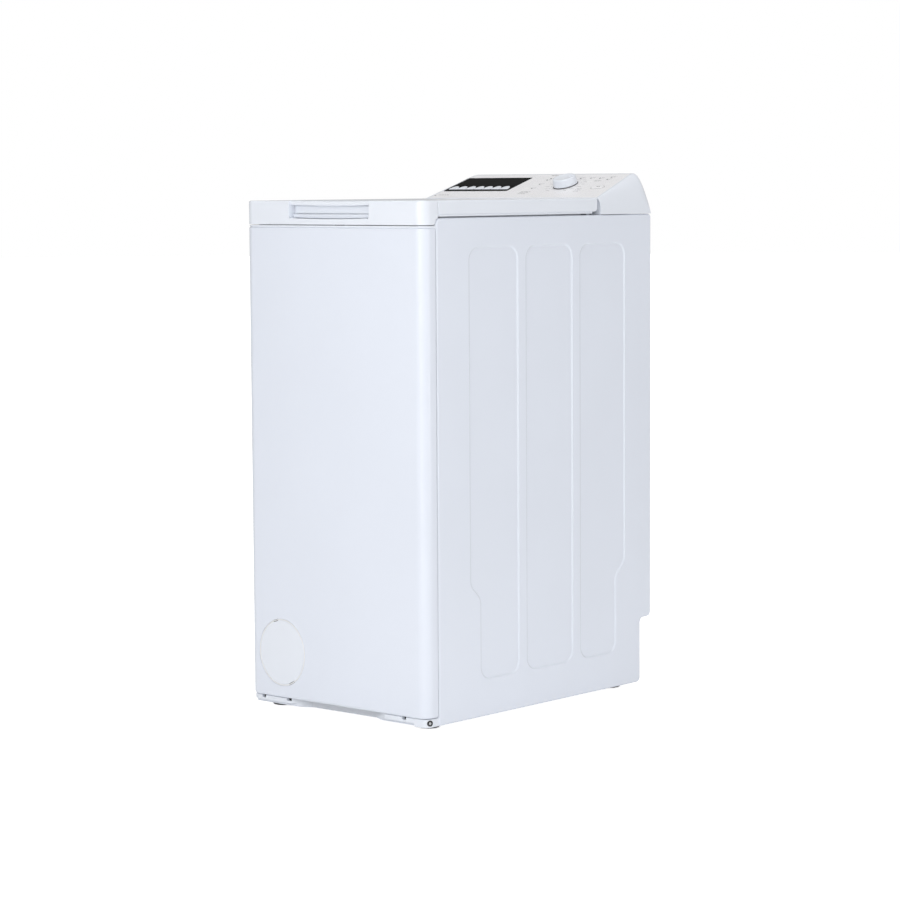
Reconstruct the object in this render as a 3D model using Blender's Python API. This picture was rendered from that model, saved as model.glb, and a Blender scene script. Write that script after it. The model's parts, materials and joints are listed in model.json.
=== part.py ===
"""Narrow top-loading washing machine with a horizontal drum.

Metres, +Z up, +X to the right as seen from the front, front face towards -Y.
The origin is the middle of the base, on the floor.
Every physical piece is one named object; moving pieces have their origin on
their joint's axis.
"""

from math import asin, atan2, cos, degrees, pi, radians, sin, sqrt, tan

import bmesh
import bpy
from mathutils import Matrix, Vector

# ---------------------------------------------------------------- driving sizes
WIDTH, DEPTH, HEIGHT = 0.400, 0.600, 0.900
HALF = WIDTH / 2
FRONT, BACK = -DEPTH / 2, DEPTH / 2
GAP = 0.0003                 # clearance kept between pieces that touch
SHEET = 0.0012               # cabinet sheet steel
WALL = 0.003                 # moulded plastic wall
CORNER = 0.018               # vertical front corner radius

BASE_LOW, BASE_HIGH = 0.0065, 0.0205
FRONT_LOW, FRONT_HIGH = 0.0210, 0.8135
FRONT_WRAP = -0.2700         # rear edge of the front panel's folded sides
SIDE_LOW, SIDE_HIGH = 0.0065, 0.8290
SIDE_FRONT = -0.2697
NOTCH_Y, NOTCH_Z = 0.270, 0.120      # hose recess at the bottom of the back

LID_LOW, LID_SIDE_LOW, LID_HIGH = 0.8176, 0.8320, 0.8570
LID_BACK = 0.1500
GRIP_X, GRIP_HALF = -0.0070, 0.0900   # the hand recess sits a little left of the middle
LID_APRON_BACK = -0.2704
HINGE_Y, HINGE_Z = 0.1410, 0.8450

DRUM_Y, DRUM_Z = -0.030, 0.440
DRUM_RADIUS, DRUM_HALF, DRUM_WALL = 0.2250, 0.1250, 0.0015
TUB_INNER, TUB_OUTER, TUB_FLANGE = 0.2420, 0.2460, 0.2520
TUB_CAVITY, TUB_END, HUB_END = 0.1360, 0.1400, 0.1520
HUB_BORE, HUB_OUTER = 0.0220, 0.0320
SHAFT_RADIUS = 0.0125
NECK_X, NECK_Y, NECK_TOP = 0.1150, 0.1120, 0.7000
NECK_WALL = 0.004
DRUM_MOUTH_X, DRUM_MOUTH_Y = 0.1050, 0.0986

PULLEY_X = (0.1590, 0.1730)
PULLEY_RADIUS, MOTOR_PULLEY_RADIUS, BELT_THICK = 0.1330, 0.0133, 0.0030
BELT_LIFT = 0.0009           # keeps the belt's flat facets clear of the pulleys
MOTOR_Y, MOTOR_Z, MOTOR_RADIUS = 0.140, 0.160, 0.055

FACE_FRONT_Y, FACE_FRONT_Z = 0.1535, 0.8573
CREST_Y = 0.275
FACE_TILT = atan2(HEIGHT - FACE_FRONT_Z, CREST_Y - FACE_FRONT_Y)
FASCIA_X, FASCIA_S = (0.1915, 0.1835), (0.0030, 0.1240)   # half width at the front and at the rear
FASCIA_THICK = 0.0030

BUTTON_COUNT, BUTTON_PITCH, BUTTON_FIRST = 7, 0.0199, -0.1708
BUTTON_S, BUTTON_SIZE, BUTTON_RADII = 0.0545, (0.0190, 0.0175), (0.0080, 0.0080, 0.0040, 0.0040)
DISPLAY_X, DISPLAY_S = (-0.1828, -0.0345), (0.0380, 0.1080)
START_X, START_S, START_SIZE, START_RADIUS = 0.1550, 0.0550, (0.0240, 0.0120), 0.0058
KNOB_X, KNOB_S, KNOB_RADIUS, KNOB_HEIGHT = 0.0755, 0.0670, 0.0219, 0.0142

COVER_X, COVER_Z, COVER_RADIUS = -0.1245, 0.0983, 0.0560
FOOT_X, FOOT_FRONT_Y, FOOT_REAR_Y = 0.165, -0.255, 0.225


# ---------------------------------------------------------------- scene and materials
def clear_scene():
    for item in list(bpy.data.objects):
        bpy.data.objects.remove(item, do_unlink=True)


def material(name, colour, roughness, metallic=0.0):
    made = bpy.data.materials.get(name) or bpy.data.materials.new(name)
    made.use_nodes = True
    shader = made.node_tree.nodes["Principled BSDF"]
    shader.inputs["Base Color"].default_value = (*colour, 1.0)
    shader.inputs["Roughness"].default_value = roughness
    shader.inputs["Metallic"].default_value = metallic
    return made


def finish(name):
    """The material that a kind of piece is made of."""
    kinds = {
        "white enamel": ((0.86, 0.88, 0.92), 0.35, 0.0),
        "white plastic": ((0.88, 0.89, 0.92), 0.40, 0.0),
        "fascia plastic": ((0.74, 0.72, 0.69), 0.45, 0.0),
        "dark window": ((0.015, 0.015, 0.016), 0.12, 0.0),
        "grey plastic": ((0.45, 0.47, 0.48), 0.55, 0.0),
        "black plastic": ((0.03, 0.03, 0.03), 0.50, 0.0),
        "rubber": ((0.20, 0.20, 0.21), 0.80, 0.0),
        "stainless steel": ((0.70, 0.71, 0.72), 0.25, 1.0),
        "galvanised steel": ((0.60, 0.61, 0.62), 0.45, 1.0),
        "concrete": ((0.42, 0.41, 0.39), 0.90, 0.0),
        "circuit board": ((0.05, 0.22, 0.10), 0.50, 0.0),
    }
    return material(name, *kinds[name])


# ---------------------------------------------------------------- solids
AXES = {"x": (1, 2, 0), "y": (0, 2, 1), "z": (0, 1, 2)}   # outline axes, then the axis


def at(axis, first, second, along):
    """A point from its two outline coordinates and its place along an axis."""
    point = [0.0, 0.0, 0.0]
    for index, value in zip(AXES[axis], (first, second, along)):
        point[index] = value
    return Vector(point)


def ring_stack(rings, closed=False):
    """A solid whose skin joins rings of equal count; closed joins the last to the first."""
    shape = bmesh.new()
    loops = [[shape.verts.new(point) for point in ring] for ring in rings]
    pairs = list(zip(loops, loops[1:])) + ([(loops[-1], loops[0])] if closed else [])
    count = len(rings[0])
    for lower, upper in pairs:
        for k in range(count):
            nxt = (k + 1) % count
            shape.faces.new((lower[k], lower[nxt], upper[nxt], upper[k]))
    if not closed:
        shape.faces.new(loops[0])
        shape.faces.new(loops[-1])
    bmesh.ops.recalc_face_normals(shape, faces=shape.faces)
    return shape


def prism(axis, outline, start, end):
    return ring_stack([[at(axis, a, b, along) for a, b in outline] for along in (start, end)])


def block(low, high):
    outline = [(low[0], low[1]), (high[0], low[1]), (high[0], high[1]), (low[0], high[1])]
    return prism("z", outline, low[2], high[2])


def arc(centre, radius, start, end, steps):
    """Points on an arc, angles in degrees."""
    angles = [radians(start + (end - start) * k / steps) for k in range(steps + 1)]
    return [(centre[0] + radius * cos(a), centre[1] + radius * sin(a)) for a in angles]


def round_rectangle(low, high, radius, steps=4):
    """A rectangle with rounded corners; radius is one value or one for each corner."""
    radii = radius if isinstance(radius, tuple) else (radius,) * 4
    corners = ((high[0], high[1], -1, -1), (low[0], high[1], 1, -1), (low[0], low[1], 1, 1), (high[0], low[1], -1, 1))
    outline = []
    for k, (a, b, da, db) in enumerate(corners):
        r = radii[k]
        if r == 0:
            outline.append((a, b))
        else:
            outline += arc((a + da * r, b + db * r), r, 90 * k, 90 * k + 90, steps)
    return outline


def circle(centre, radius, segments):
    return arc(centre, radius, 0, 360 * (segments - 1) / segments, segments - 1)


def cylinder(axis, centre, radius, start, end, segments=24):
    return prism(axis, circle(centre, radius, segments), start, end)


def tube(axis, centre, outer, inner, start, end, segments=24):
    rings = []
    for radius, along in ((outer, start), (outer, end), (inner, end), (inner, start)):
        rings.append([at(axis, a, b, along) for a, b in circle(centre, radius, segments)])
    return ring_stack(rings, closed=True)


def lathe(axis, centre, profile, segments=24):
    """Turns (along, radius) points about an axis; an end on the axis closes to a point."""
    shape = bmesh.new()
    loops = []
    for along, radius in profile:
        if radius == 0:
            loops.append([shape.verts.new(at(axis, *centre, along))])
        else:
            loops.append([shape.verts.new(at(axis, a, b, along)) for a, b in circle(centre, radius, segments)])
    for k, ring in enumerate(loops):
        other = loops[(k + 1) % len(loops)]
        if len(ring) == 1 and len(other) == 1:
            continue
        for j in range(segments):
            nxt = (j + 1) % segments
            if len(ring) == 1:
                shape.faces.new((ring[0], other[nxt], other[j]))
            elif len(other) == 1:
                shape.faces.new((ring[j], ring[nxt], other[0]))
            else:
                shape.faces.new((ring[j], ring[nxt], other[nxt], other[j]))
    bmesh.ops.recalc_face_normals(shape, faces=shape.faces)
    return shape


def swept_wire(path, radius, sides):
    """A round wire along a list of points."""
    rings = []
    across = (path[1] - path[0]).orthogonal().normalized()
    for k, point in enumerate(path):
        ahead = (path[min(k + 1, len(path) - 1)] - path[max(k - 1, 0)]).normalized()
        across = (across - ahead * across.dot(ahead)).normalized()
        side = ahead.cross(across)
        angles = [2 * pi * j / sides for j in range(sides)]
        rings.append([point + (across * cos(a) + side * sin(a)) * radius for a in angles])
    return ring_stack(rings)


def move(shape, matrix):
    bmesh.ops.transform(shape, matrix=matrix, verts=shape.verts)
    return shape


# ---------------------------------------------------------------- objects
def piece(name, shape, kind, origin=(0, 0, 0), smooth=35):
    """Makes a named object from a shape in world coordinates, with its origin placed."""
    move(shape, Matrix.Translation(-Vector(origin)))
    mesh = bpy.data.meshes.new(name)
    shape.to_mesh(mesh)
    shape.free()
    mesh.shade_smooth()
    mesh.set_sharp_from_angle(angle=radians(smooth))
    mesh.materials.append(finish(kind))
    made = bpy.data.objects.new(name, mesh)
    made.location = origin
    bpy.context.scene.collection.objects.link(made)
    return made


def guide(name, shape):
    """A shape that only works on other pieces."""
    made = piece(name, shape, "grey plastic")
    made.hide_render = True
    made.display_type = "WIRE"
    return made


def combine(target, shape, operation):
    """Adds or cuts a shape, or another guide, with a Boolean on the target."""
    tool_name = f"{target.name}_{operation.lower()}_{len(target.modifiers)}"
    tool = shape if isinstance(shape, bpy.types.Object) else guide(tool_name, shape)
    step = target.modifiers.new(tool_name, "BOOLEAN")
    step.operation = operation
    step.object = tool
    return target


def cut(target, *shapes):
    for shape in shapes:
        combine(target, shape, "DIFFERENCE")
    return target


def add(target, *shapes):
    for shape in shapes:
        combine(target, shape, "UNION")
    return target


# ---------------------------------------------------------------- cabinet
def side_outline():
    """The side panel's outline in (y, z), with the hose recess at the bottom rear."""
    radius = 0.009
    outline = arc((BACK - 0.004, SIDE_HIGH - 0.004), 0.004, 0, 90, 2)
    outline += arc((SIDE_FRONT + 0.010, SIDE_HIGH - 0.010), 0.010, 90, 180, 4)
    outline += [(SIDE_FRONT, SIDE_LOW)]
    outline += arc((NOTCH_Y - radius, SIDE_LOW + radius), radius, -90, 0, 3)
    outline += arc((NOTCH_Y + radius, NOTCH_Z - radius), radius, 180, 90, 3)
    outline += arc((BACK - radius, NOTCH_Z + radius), radius, -90, 0, 3)
    return outline


def recess_outlines(grow=0.0):
    """The three pressed recesses in (y, z); the outer two narrow near the bottom."""
    low, high, radius = 0.069 - grow, 0.780 + grow, 0.018
    middle = 0.018
    outer, inner, narrow = 0.2055 + grow, 0.0828 - grow, 0.1800 + grow
    step_high, step_low = 0.233, 0.201

    def stepped(sign):
        y = lambda offset: middle + sign * offset
        top = [(y(inner + radius), high), (y(outer - radius), high)]
        corner = [(y(outer - radius + radius * sin(radians(a))), high - radius + radius * cos(radians(a)))
                  for a in (30, 60, 90)]
        step = [(y(outer), step_high), (y(outer - 0.006), step_high - 0.010),
                (y(narrow + 0.006), step_low + 0.010), (y(narrow), step_low)]
        foot = [(y(narrow - radius + radius * cos(radians(a))), low + radius - radius * sin(radians(a)))
                for a in (0, 30, 60, 90)]
        back = [(y(inner + radius - radius * sin(radians(a))), low + radius - radius * cos(radians(a)))
                for a in (0, 30, 60, 90)]
        rise = [(y(inner + radius - radius * cos(radians(a))), high - radius + radius * sin(radians(a)))
                for a in (0, 30, 60)]
        return top + corner + step + foot + back + rise

    centre = round_rectangle((middle - 0.0608 - grow, low), (middle + 0.0608 + grow, high), radius, 3)
    return [stepped(-1), centre, stepped(1)]


def side_panel(side):
    """A pressed sheet with folded front and rear edges and three recesses."""
    depth = 0.0015
    name = "side_panel_right" if side > 0 else "side_panel_left"
    inner = HALF - SHEET
    panel = piece(name, prism("x", side_outline(), side * inner, side * HALF), "white enamel")
    add(panel, block((min(side * 0.184, side * (HALF - 0.0002)), SIDE_FRONT + 0.0001, BASE_HIGH + 0.001),
                     (max(side * 0.184, side * (HALF - 0.0002)), SIDE_FRONT + SHEET, SIDE_HIGH - 0.020)))
    add(panel, block((min(side * 0.186, side * (HALF - 0.0002)), BACK - SHEET, NOTCH_Z + 0.012),
                     (max(side * 0.186, side * (HALF - 0.0002)), BACK - 0.0001, SIDE_HIGH - 0.006)))
    for boss in recess_outlines(grow=SHEET):
        add(panel, prism("x", boss, side * (inner - depth), side * (inner + 0.0004)))
    for recess in recess_outlines():
        cut(panel, prism("x", recess, side * (HALF - depth), side * (HALF + 0.005)))
    return panel


def front_panel():
    """A U-shaped sheet with rounded vertical corners and the filter opening."""
    outer = [(-HALF, FRONT_WRAP), *arc((-HALF + CORNER, FRONT + CORNER), CORNER, 180, 270, 5),
             *arc((HALF - CORNER, FRONT + CORNER), CORNER, 270, 360, 5), (HALF, FRONT_WRAP)]
    small = CORNER - SHEET
    inner = [(HALF - SHEET, FRONT_WRAP), *arc((HALF - CORNER, FRONT + CORNER), small, 360, 270, 5),
             *arc((-HALF + CORNER, FRONT + CORNER), small, 270, 180, 5), (-HALF + SHEET, FRONT_WRAP)]
    panel = piece("front_panel", prism("z", outer + inner, FRONT_LOW, FRONT_HIGH), "white enamel")
    cut(panel, cylinder("y", (COVER_X, COVER_Z), COVER_RADIUS + 0.0012, FRONT - 0.005, FRONT + 0.010, 32))


def rear_panel():
    """A flat sheet whose lower part steps forward behind the hose recess."""
    top, step = SIDE_HIGH - 0.0005, NOTCH_Z + 0.004
    face = BACK - 0.0028
    inset = NOTCH_Y - 0.0015
    outline = [(face, top), (face, step), (inset, step), (inset, BASE_HIGH + 0.001),
               (inset - SHEET, BASE_HIGH + 0.001), (inset - SHEET, step + SHEET),
               (face - SHEET, step + SHEET), (face - SHEET, top)]
    panel = piece("rear_panel", prism("x", outline, -0.1865, 0.1865), "galvanised steel")
    for x, radius in ((0.120, 0.0145), (-0.120, 0.0145), (0.0, 0.0105)):
        cut(panel, cylinder("y", (x, 0.072), radius, 0.255, 0.285, 16))


def base_frame():
    """The moulded base: a slab with boss holes for the feet's studs."""
    outline = round_rectangle((-0.1982, -0.2962), (0.1982, NOTCH_Y - 0.0045), (0.004, 0.004, 0.012, 0.012), 3)
    base = piece("base_frame", prism("z", outline, BASE_LOW, BASE_HIGH), "white plastic")
    for x in (-FOOT_X, FOOT_X):
        for y in (FOOT_FRONT_Y, FOOT_REAR_Y):
            cut(base, cylinder("z", (x, y), 0.0055, 0.0, 0.04, 12))


def foot(name, x, y):
    """A levelling foot: a wide pad with a threaded stud."""
    profile = [(0.0, 0.0), (0.0, 0.0170), (0.0030, 0.0190), (0.0060, 0.0190), (0.0060, 0.0050),
               (0.0360, 0.0050), (0.0360, 0.0)]
    piece(name, lathe("z", (x, y), profile, 16), "black plastic", origin=(x, y, 0))


def top_frame():
    """The moulded surround under the lid, with its loading hole, spring lugs and hinge posts."""
    low, high = 0.8105, 0.8165
    rear = BACK - 0.0045
    plate = round_rectangle((-0.1982, FRONT + 0.0018), (0.1982, rear), (0.001, 0.001, CORNER, CORNER))
    frame = piece("top_frame", prism("z", plate, low, high), "white plastic")
    lip = round_rectangle((-0.1995, FRONT + 0.0006), (0.1995, LID_APRON_BACK), (0, 0, CORNER, CORNER))
    add(frame, prism("z", lip, FRONT_HIGH + GAP, high - 0.0003))
    add(frame, block((-0.1975, 0.1570, high - 0.001), (0.1975, 0.1600, SIDE_HIGH)))
    for side in (-1, 1):
        x_low, x_high = sorted((side * 0.1580, side * 0.1820))
        add(frame, block((x_low, DRUM_Y - 0.012, 0.7165), (x_high, DRUM_Y + 0.012, low + 0.002)))
        x_low, x_high = sorted((side * 0.1755, side * 0.1845))
        post = prism("x", [(0.1375, high - 0.001), (0.1445, high - 0.001), (0.1460, HINGE_Z),
                           (0.1440, HINGE_Z + 0.0045), (0.1380, HINGE_Z + 0.0045), (0.1360, HINGE_Z)],
                     x_low, x_high)
        add(frame, post)
        cut(frame, cylinder("x", (HINGE_Y, HINGE_Z), 0.0029, side * 0.170, side * 0.190, 12))
    cut(frame, prism("z", mouth_outline(0.0), 0.80, 0.83))
    cut(frame, block((-0.012, -0.2870, 0.80), (0.012, -0.2710, 0.83)))


def mouth_outline(shrink):
    return round_rectangle((-0.146 + shrink, -0.252 + shrink), (0.146 - shrink, 0.112 - shrink), 0.030)


def neck_outline(grow):
    """The tub's loading neck in (x, y), grown outwards."""
    return round_rectangle((-NECK_X - grow, DRUM_Y - NECK_Y - grow),
                           (NECK_X + grow, DRUM_Y + NECK_Y + grow), 0.018 + grow)


def loading_funnel():
    """The sloping collar from the loading hole down to the bellows."""
    top, bottom = 0.8102, 0.7350
    rings = [(mouth_outline(-0.0035), top), (neck_outline(0.0060), bottom),
             (neck_outline(0.0025), bottom), (mouth_outline(0.0), top)]
    piece("loading_funnel", ring_stack([[Vector((x, y, z)) for x, y in ring] for ring, z in rings], closed=True),
          "white plastic")


def bellows():
    """The folded rubber seal between the tub's neck and the funnel."""
    low, high = NECK_TOP + GAP, 0.7350 - GAP
    folds = 2
    outer, inner = [], []
    for k in range(2 * folds + 1):
        z = low + (high - low) * k / (2 * folds)
        swell = 0.004 if k % 2 else 0.0
        outer.append([Vector((x, y, z)) for x, y in neck_outline(0.0050 + swell)])
        inner.append([Vector((x, y, z)) for x, y in neck_outline(0.0028 + swell)])
    piece("bellows", ring_stack(outer + inner[::-1], closed=True), "rubber", smooth=60)


def console_rings(inset, low):
    """Cross-sections of the rear console; the ends roll down to the sides."""
    lip = 0.0038                 # the face's front edge stands over the lid's rear
    front = FACE_FRONT_Y + 0.0040 + inset
    face_z = FACE_FRONT_Z - inset / cos(FACE_TILT)
    step = 0.0027
    profile = [(front, low), (front, face_z - step), (front - 0.0040, face_z - step), (front - 0.0040, face_z)]
    if inset:
        profile = [(front, low), (front, face_z - step), (front + 0.0010, face_z + 0.0002)]
    profile += [(0.200 - inset / 2, face_z + (0.200 - front + 0.004) * tan(FACE_TILT)),
                (CREST_Y - inset / 2, HEIGHT - inset * 1.06)]
    crest = ((0.2810, 0.8975), (0.2870, 0.8885), (0.2930, 0.8740), (0.2970, 0.8560), (0.2990, low))
    profile += [(y - inset, z - (inset * 0.6 if z > low else 0.0)) for y, z in crest]
    stations = (0, 27, 54, 80)
    reach = sin(radians(stations[-1]))
    rings = []
    for side in (-1, 1):
        for angle in (stations[::-1] if side < 0 else stations):
            ring = []
            for y, z in profile:
                along = min(max((y - FACE_FRONT_Y) / (CREST_Y - FACE_FRONT_Y), 0.0), 1.0)
                crease = 0.1960 - 0.0100 * along
                x = crease + (HALF - crease) * sin(radians(angle)) / reach - inset
                drawn_back = lip * (1 - cos(radians(angle)) ** 4) if y < front else 0.0
                ring.append(Vector((side * x, y + drawn_back, low + (z - low) * cos(radians(angle)))))
            rings.append(ring)
    return rings


def on_face(shape):
    """Moves a shape from the console face's own (x, s, height) frame to the world."""
    tilt = Matrix.Rotation(FACE_TILT, 4, "X")
    return move(shape, Matrix.Translation((0, FACE_FRONT_Y, FACE_FRONT_Z)) @ tilt)


def face_point(x, s, height=0.0):
    return Vector((x, FACE_FRONT_Y + s * cos(FACE_TILT) - height * sin(FACE_TILT),
                   FACE_FRONT_Z + s * sin(FACE_TILT) + height * cos(FACE_TILT)))


def console_housing():
    """The moulded console shell, open below, with a window for the fascia."""
    low = SIDE_HIGH + GAP + 0.0002
    shell = piece("console_housing", ring_stack(console_rings(0.0, low)), "white plastic", smooth=30)
    cut(shell, ring_stack(console_rings(0.0028, low - 0.010)))
    cut(shell, on_face(prism("z", fascia_outline(0.0), -0.012, 0.010)))


def fascia_outline(inset):
    """The fascia's outline, a trapezium that narrows towards the rear."""
    front, rear = FASCIA_X[0] - inset, FASCIA_X[1] - inset
    near, far = FASCIA_S[0] + inset, FASCIA_S[1] - inset
    return [(front, near), (rear, far), (-rear, far), (-front, near)]


def key_outline(x, s, size, radius, grow=0.0):
    """A key's rounded outline in the face's frame, grown outwards for its opening."""
    half_x, half_s = size[0] / 2 + grow, size[1] / 2 + grow
    return round_rectangle((x - half_x, s - half_s), (x + half_x, s + half_s), radius, 3)


def button_places():
    return [BUTTON_FIRST + BUTTON_PITCH * k for k in range(BUTTON_COUNT)]


def control_fascia():
    """The flat plate in the console's window, with holes for the controls."""
    plate = piece("control_fascia", on_face(prism("z", fascia_outline(GAP), -FASCIA_THICK, 0.0)), "fascia plastic")
    window = round_rectangle((DISPLAY_X[0], DISPLAY_S[0]), (DISPLAY_X[1], DISPLAY_S[1]), 0.002, 2)
    cut(plate, on_face(prism("z", window, -0.01, 0.01)))
    cut(plate, on_face(prism("z", key_outline(START_X, START_S, START_SIZE, START_RADIUS, grow=GAP), -0.01, 0.01)))
    cut(plate, on_face(cylinder("z", (KNOB_X, KNOB_S), 0.0045, -0.01, 0.01, 12)))


def display_window():
    """The dark window that fills the fascia's opening, with holes for the option buttons."""
    outline = round_rectangle((DISPLAY_X[0] + GAP, DISPLAY_S[0] + GAP),
                              (DISPLAY_X[1] - GAP, DISPLAY_S[1] - GAP), 0.002, 2)
    window = piece("display_window", on_face(prism("z", outline, -0.0025, -0.0001)), "dark window")
    for x in button_places():
        opening = key_outline(x, BUTTON_S, BUTTON_SIZE, BUTTON_RADII, grow=GAP)
        cut(window, on_face(prism("z", opening, -0.01, 0.01)))


def push_button(name, x, s, outline, proud, kind):
    """A key whose cap travels along the face's normal."""
    piece(name, on_face(prism("z", outline, -0.0050, proud)), kind, origin=face_point(x, s))


def program_knob():
    """The programme knob with its shaft through the fascia."""
    profile = [(-0.0090, 0.0), (-0.0090, 0.0040), (0.0006, 0.0040), (0.0006, KNOB_RADIUS),
               (KNOB_HEIGHT - 0.0020, KNOB_RADIUS - 0.0012), (KNOB_HEIGHT, KNOB_RADIUS - 0.0032),
               (KNOB_HEIGHT, 0.0)]
    piece("program_knob", on_face(lathe("z", (KNOB_X, KNOB_S), profile, 28)), "white plastic",
          origin=face_point(KNOB_X, KNOB_S))


def control_board():
    """The circuit board under the fascia, clear of the knob's shaft and keys."""
    piece("control_board", on_face(block((-0.170, 0.030, -0.0120), (0.170, 0.110, -0.0104))), "circuit board")


def door_lock():
    """The lock that holds the lid's hook."""
    lock = piece("door_lock", block((-0.028, -0.2930, 0.7850), (0.028, -0.2660, 0.8102)), "black plastic")
    cut(lock, block((-0.011, -0.2870, 0.7890), (0.011, -0.2710, 0.8200)))


def hose_fittings():
    """The water inlet valve, the drain outlet and the gland in the rear panel's recess."""
    back = NOTCH_Y - 0.0015
    inlet = [(back - 0.050, 0.0), (back - 0.050, 0.0200), (back - 0.0020, 0.0200), (back - 0.0020, 0.0130),
             (back + 0.0220, 0.0130), (back + 0.0220, 0.0090), (back + 0.0060, 0.0090), (back + 0.0060, 0.0)]
    piece("inlet_valve", lathe("y", (0.120, 0.072), inlet, 16), "grey plastic")
    drain = [(back - 0.030, 0.0085), (back - 0.030, 0.0180), (back - 0.0020, 0.0180), (back - 0.0020, 0.0130),
             (back + 0.0240, 0.0130), (back + 0.0240, 0.0085)]
    piece("drain_outlet", lathe("y", (-0.120, 0.072), drain, 16), "grey plastic")
    gland = [(back - 0.012, 0.0040), (back - 0.012, 0.0140), (back - 0.0020, 0.0140), (back - 0.0020, 0.0095),
             (back + 0.0060, 0.0095), (back + 0.0060, 0.0040)]
    piece("cable_gland", lathe("y", (0.0, 0.072), gland, 16), "black plastic")


# ---------------------------------------------------------------- pump and filter
def filter_parts():
    """The filter cover, the screw plug, the filter housing, the impeller and the pump."""
    centre = (COVER_X, COVER_Z)
    cover = [(FRONT + 0.0002, 0.0), (FRONT + 0.0002, COVER_RADIUS - 0.0015), (FRONT + 0.0014, COVER_RADIUS),
             (FRONT + 0.0034, COVER_RADIUS), (FRONT + 0.0034, 0.0)]
    made = piece("filter_cover", lathe("y", centre, cover, 32), "white plastic", origin=(COVER_X, FRONT, COVER_Z))
    for angle in (106, -65):
        x = COVER_X + COVER_RADIUS * cos(radians(angle))
        z = COVER_Z + COVER_RADIUS * sin(radians(angle))
        cut(made, block((x - 0.007, FRONT - 0.002, z - 0.0022), (x + 0.007, FRONT + 0.0015, z + 0.0022)))

    mouth = FRONT + 0.0125
    plug = [(mouth, 0.0), (mouth, 0.0290), (mouth + 0.004, 0.0300), (mouth + 0.006, 0.0300),
            (mouth + 0.006, 0.0240), (mouth + 0.055, 0.0200), (mouth + 0.055, 0.0)]
    made = piece("filter_plug", lathe("y", centre, plug, 20), "grey plastic", origin=(COVER_X, mouth, COVER_Z))
    add(made, block((COVER_X - 0.022, mouth - 0.0070, COVER_Z - 0.0035),
                    (COVER_X + 0.022, mouth + 0.0010, COVER_Z + 0.0035)))

    housing = [(mouth + 0.0063, 0.0260), (mouth + 0.0063, 0.0360), (mouth + 0.110, 0.0360),
               (mouth + 0.110, 0.0080), (mouth + 0.106, 0.0080), (mouth + 0.106, 0.0315),
               (mouth + 0.0250, 0.0315), (mouth + 0.0250, 0.0260)]
    made = piece("pump_housing", lathe("y", centre, housing, 20), "grey plastic")
    add(made, block((COVER_X - 0.020, mouth + 0.020, BASE_HIGH + 0.002),
                    (COVER_X + 0.020, mouth + 0.100, COVER_Z - 0.0335)))

    blades = [(mouth + 0.084, 0.0), (mouth + 0.084, 0.0070), (mouth + 0.1300, 0.0070), (mouth + 0.1300, 0.0)]
    made = piece("pump_impeller", lathe("y", centre, blades, 12), "black plastic",
                 origin=(COVER_X, mouth + 0.084, COVER_Z))
    for dx, dz in ((0.022, 0.0012), (0.0012, 0.022)):
        add(made, block((COVER_X - dx, mouth + 0.0860, COVER_Z - dz), (COVER_X + dx, mouth + 0.1020, COVER_Z + dz)))

    pump = [(mouth + 0.1104, 0.0), (mouth + 0.1104, 0.0300), (mouth + 0.1500, 0.0300), (mouth + 0.1500, 0.0)]
    made = piece("drain_pump", lathe("y", centre, pump, 20), "black plastic")
    cut(made, cylinder("y", centre, 0.0074, mouth + 0.10, mouth + 0.1320, 12))


# ---------------------------------------------------------------- lid
def lid_outline(inset):
    corner = CORNER - inset
    return round_rectangle((-HALF + inset, FRONT + inset), (HALF - inset, LID_BACK - inset),
                           (0.004, 0.004, corner, corner))


def lid_shell():
    """The outer lid: a tray turned down, with the front apron and the grip recess."""
    hinge = (0.0, HINGE_Y, HINGE_Z)
    lid = piece("lid_shell", prism("z", lid_outline(0.0), LID_SIDE_LOW, LID_HIGH), "white plastic", origin=hinge)
    apron = round_rectangle((-HALF + 0.00001, FRONT + 0.00001), (HALF - 0.00001, LID_APRON_BACK),
                            (0, 0, CORNER, CORNER))
    add(lid, prism("z", apron, LID_LOW, LID_HIGH - 0.004))
    cut(lid, prism("z", lid_outline(WALL), LID_LOW - 0.01, LID_HIGH - WALL))
    add(lid, block((GRIP_X - GRIP_HALF - WALL, FRONT + 0.0015, 0.8236),
                   (GRIP_X + GRIP_HALF + WALL, -0.2790, LID_HIGH - 0.0015)))
    for rear, low, high in ((-0.2820, 0.8265, 0.8480), (FRONT + 0.0035, 0.8470, LID_HIGH + 0.005)):
        cut(lid, block((GRIP_X - GRIP_HALF, FRONT - 0.005, low), (GRIP_X + GRIP_HALF, rear, high)))
    bevel = prism("x", [(LID_BACK - 0.010, LID_SIDE_LOW - 0.002), (LID_BACK + 0.002, LID_SIDE_LOW - 0.002),
                        (LID_BACK + 0.002, LID_SIDE_LOW + 0.006)], -HALF - 0.01, HALF + 0.01)
    cut(lid, bevel)
    for side in (-1, 1):
        x_low, x_high = sorted((side * 0.1735, side * 0.1865))
        cut(lid, block((x_low, LID_BACK - 0.008, LID_SIDE_LOW - 0.01), (x_high, LID_BACK + 0.01, LID_HIGH - WALL)))
        add(lid, cylinder("x", (HINGE_Y, HINGE_Z), 0.0025, side * 0.1740, side * (HALF - 0.001), 12))


def lid_liner():
    """The inner lid panel, a shallow tray that closes the shell from below."""
    low = 0.8200
    outline = round_rectangle((-0.1880, -0.2700), (0.1880, 0.1250), 0.012)
    liner = piece("lid_liner", prism("z", outline, low, LID_HIGH - WALL - GAP), "white plastic",
                  origin=(0, HINGE_Y, HINGE_Z))
    cavity = round_rectangle((-0.1855, -0.2675), (0.1855, 0.1225), 0.0095)
    cut(liner, prism("z", cavity, low + 0.0025, LID_HIGH))


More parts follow.
